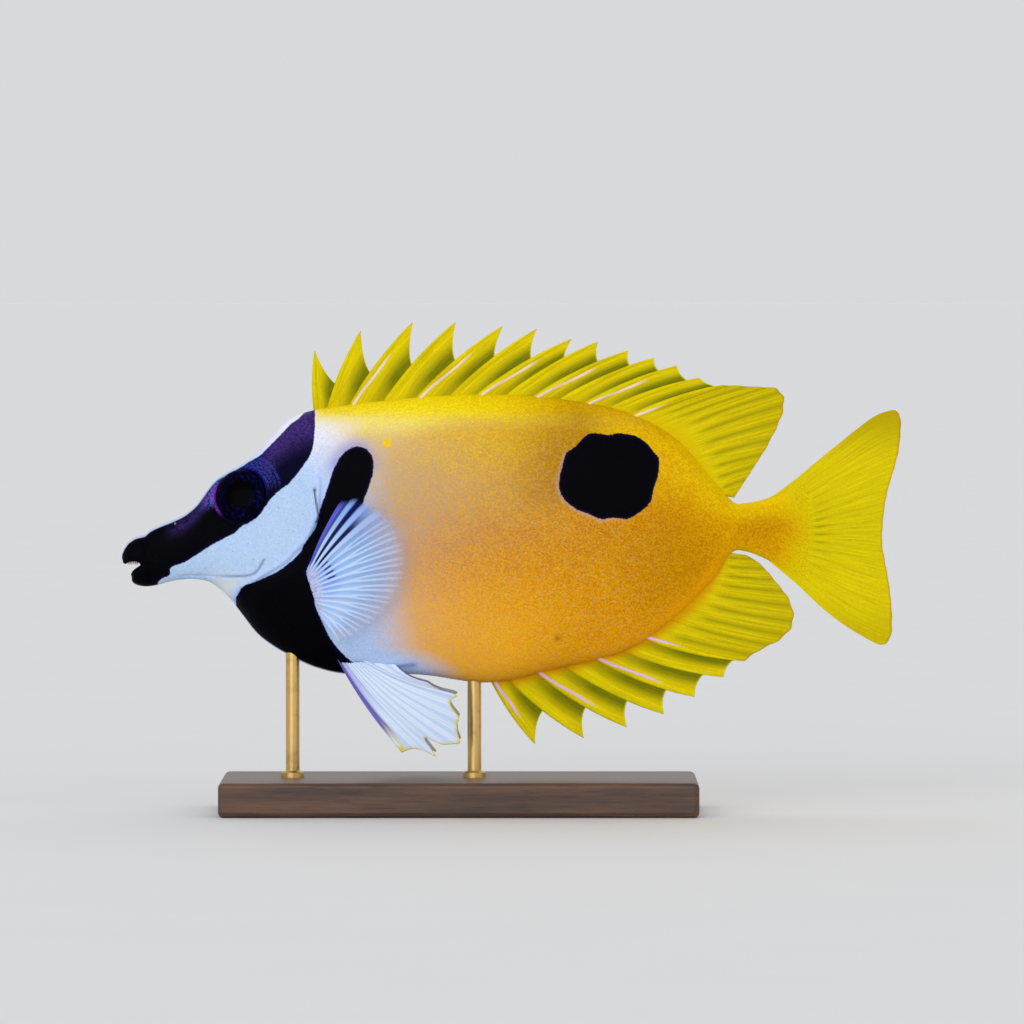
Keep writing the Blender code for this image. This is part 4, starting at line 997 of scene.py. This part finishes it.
def make_tail_fin(yellow):
    count = TAIL_RAY_COUNT
    t = np.linspace(0, 1, 84)
    roots = catmull_rom(TAIL_ROOT, np.linspace(0, 1, count))
    sheet, half, fields = soft_sheet(roots, TAIL_MARGIN, np.arange(float(count)), t, 1, 0.13, flesh=0.6,
                                     bow=0.0, per_ray=24, scallop=0.004, splits=1.3)
    v = fields["ray_u"][:, 0] / (count - 1)
    middle = 0.2 + 0.8 * bell(v - 0.52, 0.26)[:, None]
    slits = bell(t - 0.28, 0.12) * bell(v - 0.47, 0.2)[:, None]
    fields["shade"] = np.clip(fields["shade"] * (0.3 * middle + 0.9 * slits), 0, 1)
    for edge, ray, near in ((TAIL_UPPER_EDGE, 0, 1 - v), (TAIL_LOWER_EDGE, -1, v)):
        bend = evenly(edge, len(t)) - sheet[ray]
        sheet += bend * rising(0.7, 1.0, near)[:, None, None]
    wave = 0.25 * np.sin(2 * np.pi * v)[:, None] * t ** 2
    corners, faces, fields = thin_solid(np.dstack((sheet, wave)), half, fields)
    away = corners[:, 1] - TAIL_AXIS_H
    fields["lobe"] = rising(14.0, 27.0, away) + 0.6 * rising(14.0, 27.0, -away)
    fields.update(amber=0.3, soft=1.0, under=0.0)
    mesh_piece("tail_fin_fine", row_frame(corners), faces, fields, yellow, ("tail_fin",))


def flank_y(s, h):
    """How far the flesh reaches out from the mid-plane at points seen from the side."""
    rows = flesh_rows(1.0, 1.0)
    rings = section_rings(rows, 96)[:, :49]
    found = []
    for one_s, one_h in zip(s, h):
        near = np.hypot(rings[..., 0] - one_s, rings[..., 1] - one_h)
        weight = np.exp(-(near / 0.7) ** 2)
        found.append(float((weight * rings[..., 2]).sum() / weight.sum()))
    return np.array(found)


def ray_lines(u, t):
    """Brightness of pale rays: the upper ones whole, the others parting in two on their way out."""
    offset = np.abs(u - np.round(u))
    split = rising(0.4, 0.62, t)
    fine = bell(offset, 0.22) * (1 - split) + bell(offset - 0.21, 0.12) * split
    whole = falling(2.9, 3.6, u)
    return fine * (1 - whole) + bell(offset, 0.27 + 0.16 * (u < 0.6)) * whole


def paired_fins(kind, sheet, out, half, fields, pearl):
    """A fin on either side of the fish, which stands out this far from the mid-plane."""
    for side, word in SIDES:
        corners, faces, marks = thin_solid(np.dstack((sheet, side * out)), half, fields)
        mesh_piece(f"{kind}_fine_{word}", row_frame(corners), faces, marks, pearl,
                   (f"{kind}_fin_{word}",))


def make_pectoral_fins(pearl):
    count = PECTORAL_RAY_COUNT
    t = np.linspace(0, 1, 60) ** 1.1
    roots = catmull_rom(PECTORAL_ROOT, np.linspace(0, 1, count))
    sheet, half, fields = soft_sheet(roots, PECTORAL_TIPS, np.arange(float(count)), t, 1, 0.1, flesh=0.7,
                                     per_ray=32, scallop=0.008, splits=0.25)
    fields["line"] = ray_lines(fields["ray_u"], fields["ray_t"])
    half = half + 0.08 * fields["line"] * (1 - t)
    v = fields["ray_u"] / (count - 1)
    root = catmull_rom(PECTORAL_ROOT, v[:, 0])
    length = np.linalg.norm(sheet[:, -1] - root, axis=1)[:, None]
    spread = np.tan(np.radians(PECTORAL_SPREAD - PECTORAL_BACK_SPREAD * v))
    out = flank_y(root[:, 0], root[:, 1])[:, None] + length * spread * t + PECTORAL_CUP * np.sin(np.pi * t)
    out = out - 0.9 * np.exp(-t / 0.05) + 0.1 * np.sin(2 * np.pi * fields["ray_u"] / 2.7) * t ** 2
    paired_fins("pectoral", sheet, out, half, fields, pearl)


def make_pelvic_fins(pearl):
    rays = np.array(PELVIC_RAYS)
    t = np.linspace(0, 1, 56)
    sheet, half, fields = soft_sheet(rays[:, 0], rays[:, 1], np.arange(float(len(rays))), t, 1, 0.16,
                                     flesh=0.4, per_ray=16, bow=0.0, scallop=0.01, even=False)
    u = fields["ray_u"]
    for spine, reach in ((0.0, 0.5), (9.0, 0.35)):
        half = half + reach * np.sqrt(np.clip(1 - ((u - spine) / 0.32) ** 2, 0, 1)) * (1 - t) ** 0.6
    length = np.linalg.norm(sheet[:, -1] - sheet[:, 0], axis=1)[:, None]
    out = PELVIC_OUT + t * length * math.tan(math.radians(PELVIC_SPREAD)) + 0.12 * np.sin(2 * u) * t
    sheet[..., 1] += PELVIC_SUNK * (1 - t) ** 3
    fields["lead"] = u
    paired_fins("pelvic", sheet, out, half, fields, pearl)


def fibres(g, along, across):
    """Fine streaks that run out along the rays."""
    return g.noise(g.combine(g.field("ray_u") * across, g.field("ray_t") * along), 1.0, 4.0, 0.6)


def segments(g):
    """Fine cross joints of the soft rays."""
    return g.math("SINE", g.field("ray_t") * 260.0) * g.field("crest") * g.ramp("ray_t", 0.2, 0.5)


def yellow_fin_material():
    g = Graph("yellow_fin_skin")
    streaks = g.ramp(fibres(g, 2.2, 11.0), 0.25, 0.75)
    grain = g.noise(g.place(), 2.2, 4.0, 0.6)
    out = g.field("ray_t")
    fin = Coat(g, g.mix(streaks, (200, 178, 0), (236, 216, 0)))
    fin.tint(g.ramp(grain, 0.45, 0.75), (240, 222, 8), 0.5)
    fin.tint("lobe", (176, 154, 0), 0.75)
    olive = Coat(g, g.mix(streaks, (76, 88, 0), (128, 130, 0)))
    olive.tint("soft", g.mix(streaks, (132, 124, 0), (170, 158, 0)))
    fin.tint(g.math("MULTIPLY", "shade", 0.65 + streaks * 0.6, clamp=True), olive.colour)
    root = g.ramp(out, 0.2, 0.05) * g.ramp(grain, 0.1, 0.5) * (0.15 + g.field("amber") * 0.8)
    fin.tint(root, g.mix("under", (222, 190, 0), (218, 156, 0)))
    fin.tint(g.ramp("edge", 0.025, 0.006), g.mix("soft", (232, 220, 20), (196, 142, 8)), 0.6)
    # Painted highlight: a pale line along the spines that lean to the fish's left and the membranes behind
    # them.
    line = g.ramp(g.math("ABSOLUTE", "painted_highlight_offset"), 0.42, 0.2) * g.ramp(out, 0.7, 0.5)
    fin.tint(line, g.mix("under", (244, 222, 208), (226, 190, 236)), 0.95)
    height = streaks * 0.6 + segments(g) * 0.08 + grain * 0.35
    return g.finish(Base_Color=fin.colour, Roughness=0.4 + grain * 0.2, Normal=g.bump(height, 0.09, 0.8),
                    Specular_IOR_Level=0.05, Subsurface_Weight=0.1, Subsurface_Radius=(1.0, 0.8, 0.05),
                    Subsurface_Scale=0.8 * MM)


def pectoral_material():
    g = Graph("pectoral_fin_skin")
    streaks = fibres(g, 1.5, 7.0)
    stipple = g.cell_tone(g.place(), 2.6, 0.9)
    line, out, ray = g.field("line"), g.field("ray_t"), g.field("ray_u")
    blue = g.ramp(ray, 5.5, 1.0)
    fin = Coat(g, g.mix(streaks, (150, 194, 255), (176, 212, 255)))
    fin.tint(g.ramp(out, 0.42, 0.2), (98, 140, 244), 0.5)
    fin.tint(g.ramp(ray, 7.0, 11.5), (184, 212, 255), 0.75)
    fin.tint(g.ramp(line, 0.15, 0.85), (202, 224, 255))
    bluish = g.mix(g.ramp(line, 0.2, 0.9), (86, 116, 228), (120, 170, 250))
    fin.tint(blue * g.ramp(out, 0.15, 0.9), bluish, 0.75)
    fin.tint(g.ramp(ray, 0.65, 0.35), g.mix(streaks, (66, 66, 200), (122, 128, 240)))
    fin.tint(g.ramp(out, 0.16, 0.07), g.mix(stipple, (176, 186, 236), (220, 222, 250)), 0.8)
    fin.tint(g.ramp(out, 0.55, 1.0) * (1 - blue), (222, 206, 216), 0.6)
    marks = g.ramp(out, 0.17, 0.2) * g.ramp(out, 0.29, 0.25) * g.ramp(line, 0.12, 0.0) * g.ramp(ray, 7.1, 6.9)
    gaps = g.ramp(ray, 2.95, 2.8) * g.ramp(line, 0.5, 0.2) * g.ramp(out, 0.12, 0.2)
    gaps = gaps * (1 - g.ramp(ray, 1.9, 2.1) * g.ramp(out, 0.62, 0.92))
    fin.tint(g.math("MAXIMUM", gaps * 0.97, marks), (10, 6, 78))
    thin = 1 - blue * 0.85
    web = 0.94 - g.ramp(out, 0.3, 0.9) * 0.76 * thin
    bone = 0.98 - g.ramp(out, 0.45, 0.98) * 0.55 * thin
    share = g.ramp(line, 0.15, 0.8)
    alpha = g.math("MULTIPLY", bone * share + web * (1 - share), g.ramp("edge", 0.0, 0.15), clamp=True)
    height = streaks * 0.5 + segments(g) * 0.2
    return g.finish(Base_Color=fin.colour, Alpha=alpha, Roughness=0.4, Normal=g.bump(height, 0.06, 0.7),
                    Specular_IOR_Level=0.06)


def pelvic_material():
    g = Graph("pelvic_fin_skin")
    streaks = fibres(g, 1.5, 6.0)
    edge, lead = g.field("edge"), g.field("lead")
    fin = Coat(g, g.mix(streaks, (182, 206, 245), (208, 226, 252)))
    fin.tint(g.ramp("crest", 0.3, 1.0), (224, 236, 255))
    fin.tint(g.ramp(lead, 2.6, 0.8) * g.ramp(edge, 0.35, 0.85), (120, 112, 204), 0.5)
    spine = g.ramp(lead, 0.65, 0.4) * g.ramp(edge, 0.1, 0.35)
    fin.tint(spine, g.mix(streaks, (60, 40, 150), (140, 136, 212)))
    front = g.ramp(lead, 0.45, 0.3) * g.ramp(edge, 0.45, 0.2)
    front = front * g.math("MAXIMUM", g.ramp(lead, 0.18, 0.28), g.ramp(edge, 0.12, 0.04))
    tips = g.ramp(edge, 0.055, 0.0) * g.ramp(streaks, 0.3, 0.55)
    fin.tint(g.math("MAXIMUM", front, tips), (226, 204, 50), 0.85)
    height = streaks * 0.5 + segments(g) * 0.2
    return g.finish(Base_Color=fin.colour, Roughness=0.42, Normal=g.bump(height, 0.08, 0.8),
                    Specular_IOR_Level=0.1, Subsurface_Weight=0.1, Subsurface_Radius=(0.7, 0.8, 1.0),
                    Subsurface_Scale=0.6 * MM)


# Eyes and teeth

def eye_material():
    g = Graph("foxface_eye")
    radius = g.field("radius")
    streaks = g.noise(g.combine(g.field("turn") * 6.0, radius), 1.0, 3.0)
    iris = g.mix(g.ramp(g.noise(g.place(), 1.1, 4.0, 0.65), 0.5, 0.72), (2, 2, 14), (12, 16, 96))
    eye = Coat(g, g.mix(g.ramp(radius, 0.42, 0.7), (1, 1, 4), iris))
    eye.tint(g.ramp(radius, 0.84, 0.97), (4, 2, 18))
    return g.finish(Base_Color=eye.colour, Roughness=0.24, Specular_IOR_Level=0.012, Coat_Weight=0.005,
                    Coat_Roughness=0.15, Normal=g.bump(streaks, 0.02, 0.3))


def make_eyes():
    finish = eye_material()
    turns, rings = 96, 40
    polar = np.linspace(0.0, np.pi, rings)
    ball = turned(EYEBALL_RADIUS * np.sin(polar), EYE_HALF_DEPTH * np.cos(polar), turns) * MM
    fields = {"radius": np.sin(polar), "turn": np.sin(full_turn(turns))[:, None]}
    fields = filled(fields, (turns, rings))
    for side, word in SIDES:
        placed = np.array(eye_axis(side).to_track_quat("Z", "Y").to_matrix()) @ ball.T
        centre = row_frame([(*EYE_CENTRE, side * EYE_OUT)])[0]
        eye = mesh_piece("eyeball_" + word, placed.T + centre, grid_faces(turns, rings, closed=True), fields,
                         finish, ("eye_" + word,))
        face_out(eye)


def make_teeth():
    """A single close row of small flat teeth along each jaw, just inside the lips."""
    g = Graph("tooth_enamel")
    enamel = g.mix(g.noise(g.place(), 4.0), (226, 216, 196), (250, 246, 236))
    finish = g.finish(Base_Color=enamel, Roughness=0.25)
    corners, faces = [], []
    for jaw_s, jaw_h, point, half_width, depth in TOOTH_ROWS:
        for k in range(-TEETH_BESIDE, TEETH_BESIDE + 1):
            angle = math.radians(TOOTH_TURN * k)
            centre = np.array((jaw_s + depth * (1 - math.cos(angle)), jaw_h, half_width * math.sin(angle)))
            wide = np.array((math.sin(angle) * 0.5, 0, math.cos(angle))) * TOOTH_HALF_WIDTH
            thick = np.array((TOOTH_HALF_THICKNESS, 0.0, 0.0))
            start = len(corners)
            for level, taper in TOOTH_LEVELS:
                for a, b in ((1, 1), (1, -1), (-1, -1), (-1, 1)):
                    corners.append(centre + (wide * a + thick * b) * taper + np.array((0, level * point, 0)))
            for ring in (start, start + 4):
                faces += [[ring + n, ring + (n + 1) % 4, ring + 4 + (n + 1) % 4, ring + 4 + n]
                          for n in range(4)]
            faces += [list(range(start, start + 4)), list(range(start + 11, start + 7, -1))]
    face_out(mesh_piece("teeth", row_frame(corners), faces, {}, finish))


# Stand, floor, light and camera

def wood_material():
    g = Graph("stained_wood")
    rings = g.noise(g.place((0.035, 0.5, 0.5)), 1.0, 5.0, 0.6)
    pores = g.ramp(g.noise(g.place((0.12, 3.0, 3.0)), 1.0, 3.0, 0.7), 0.56, 0.68)
    wood = Coat(g, g.mix(g.ramp(rings, 0.3, 0.7), (58, 36, 24), (98, 64, 42)))
    wood.tint(pores, (34, 20, 14), 0.6)
    return g.finish(Base_Color=wood.colour, Roughness=0.36 + rings * 0.2,
                    Normal=g.bump(rings * 0.4 - pores, 0.05, 0.6), Coat_Weight=0.15, Coat_Roughness=0.3)


def brass_material():
    g = Graph("brushed_brass")
    brush = g.noise(g.place((8.0, 8.0, 0.25)), 1.0, 3.0, 0.7)
    brass = Coat(g, g.mix(brush, (196, 158, 92), (226, 194, 128)))
    brass.tint(g.ramp(g.noise(g.place(), 0.35), 0.5, 0.75), (140, 104, 56), 0.35)
    return g.finish(Base_Color=brass.colour, Metallic=1.0, Roughness=0.22 + brush * 0.2,
                    Normal=g.bump(brush, 0.01, 0.5))


def make_stand():
    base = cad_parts["stand_base"]
    base.data.materials.clear()
    base.data.materials.append(wood_material())
    brass = brass_material()
    for name, s in ROD_PLACES.items():
        low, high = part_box(name)
        top = high[2] / MM + ROD_IN_FISH
        foot = low[2] / MM - ROD_IN_BASE
        profile = [(0.0, foot), (FERRULE_RADIUS, foot), (FERRULE_RADIUS, foot + FERRULE_HEIGHT - 0.3),
                   (FERRULE_RADIUS - 0.3, foot + FERRULE_HEIGHT), (ROD_RADIUS + 0.15, foot + FERRULE_HEIGHT),
                   (ROD_RADIUS, foot + FERRULE_HEIGHT + 0.15)]
        profile += [(ROD_RADIUS, level) for level in np.linspace(foot + FERRULE_HEIGHT + 1.0, top, 12)]
        profile.append((0.0, top))
        radius, level = np.array(profile).T
        corners = turned(radius, level, ROD_SIDES)[:, [0, 2, 1]] + (s, 0.0, 0.0)
        faces = grid_faces(ROD_SIDES, len(profile), closed=True)
        rod = mesh_piece(name + "_turned", row_frame(corners), faces, {}, brass, (name,))
        face_out(rod)
        rod.data.set_sharp_from_angle(angle=math.radians(35))


def make_floor():
    """A wide pale floor that meets the pale surroundings far away."""
    g = Graph("pale_floor")
    tone = g.mix(g.noise(g.place(), 0.02, 2.0), (222, 222, 223), (225, 225, 226))
    finish = g.finish(Base_Color=tone, Roughness=0.8)
    turn = np.radians(np.arange(0, 360, 5))
    rim = [(FLOOR_RADIUS * math.cos(a), FLOOR_RADIUS * math.sin(a), 0.0) for a in turn]
    meshed("floor", rim, [list(range(len(rim)))], finish)


def soft_sun(name, toward, strength, spread, colour=(1.0, 1.0, 1.0)):
    """A broad distant light, which shines the given way."""
    lamp = bpy.data.lights.new(name, "SUN")
    lamp.energy = strength
    lamp.angle = math.radians(spread)
    lamp.color = colour
    linked(name, lamp).rotation_euler = Vector(toward).to_track_quat("-Z", "Y").to_euler()


def make_light():
    soft_sun("key", (0.35, 1.0, -0.24), 1.1, 50.0)
    soft_sun("fill", (-0.8, 0.8, -0.08), 0.4, 60.0, (0.98, 0.99, 1.0))
    soft_sun("back", (-0.1, -0.6, -0.8), 0.45, 50.0)
    world = bpy.data.worlds.new("studio")
    bpy.context.scene.world = world
    world.use_nodes = True
    background = world.node_tree.nodes["Background"]
    background.inputs["Color"].default_value = WORLD_COLOUR
    background.inputs["Strength"].default_value = WORLD_STRENGTH


def make_camera():
    """A long lens square to the fish's left side, framed as the photograph."""
    across = FRAME_PIXELS * PIXEL * MM
    centre_s = (FRAME_PIXELS / 2 - SNOUT_PX) * PIXEL
    centre_h = (FLOOR_PX - FRAME_PIXELS / 2) * PIXEL
    target = Vector(row_frame([(centre_s, centre_h, 0.0)])[0])
    camera = bpy.data.cameras.new("camera")
    camera.sensor_width = SENSOR
    camera.lens = SENSOR * CAMERA_DISTANCE / across
    camera.clip_start = 0.01
    made = linked("camera", camera)
    tilt = math.radians(CAMERA_ELEVATION)
    back = Vector((0.0, -math.cos(tilt), math.sin(tilt)))
    made.location = target + back * CAMERA_DISTANCE
    made.rotation_euler = (-back).to_track_quat("-Z", "Y").to_euler()
    bpy.context.scene.camera = made


make_skin()
yellow_finish = yellow_fin_material()
make_median_fins(yellow_finish)
make_tail_fin(yellow_finish)
make_pectoral_fins(pectoral_material())
make_pelvic_fins(pelvic_material())
make_eyes()
make_teeth()
make_stand()
make_floor()
make_light()
make_camera()
bpy.context.scene.view_settings.view_transform = "Standard"
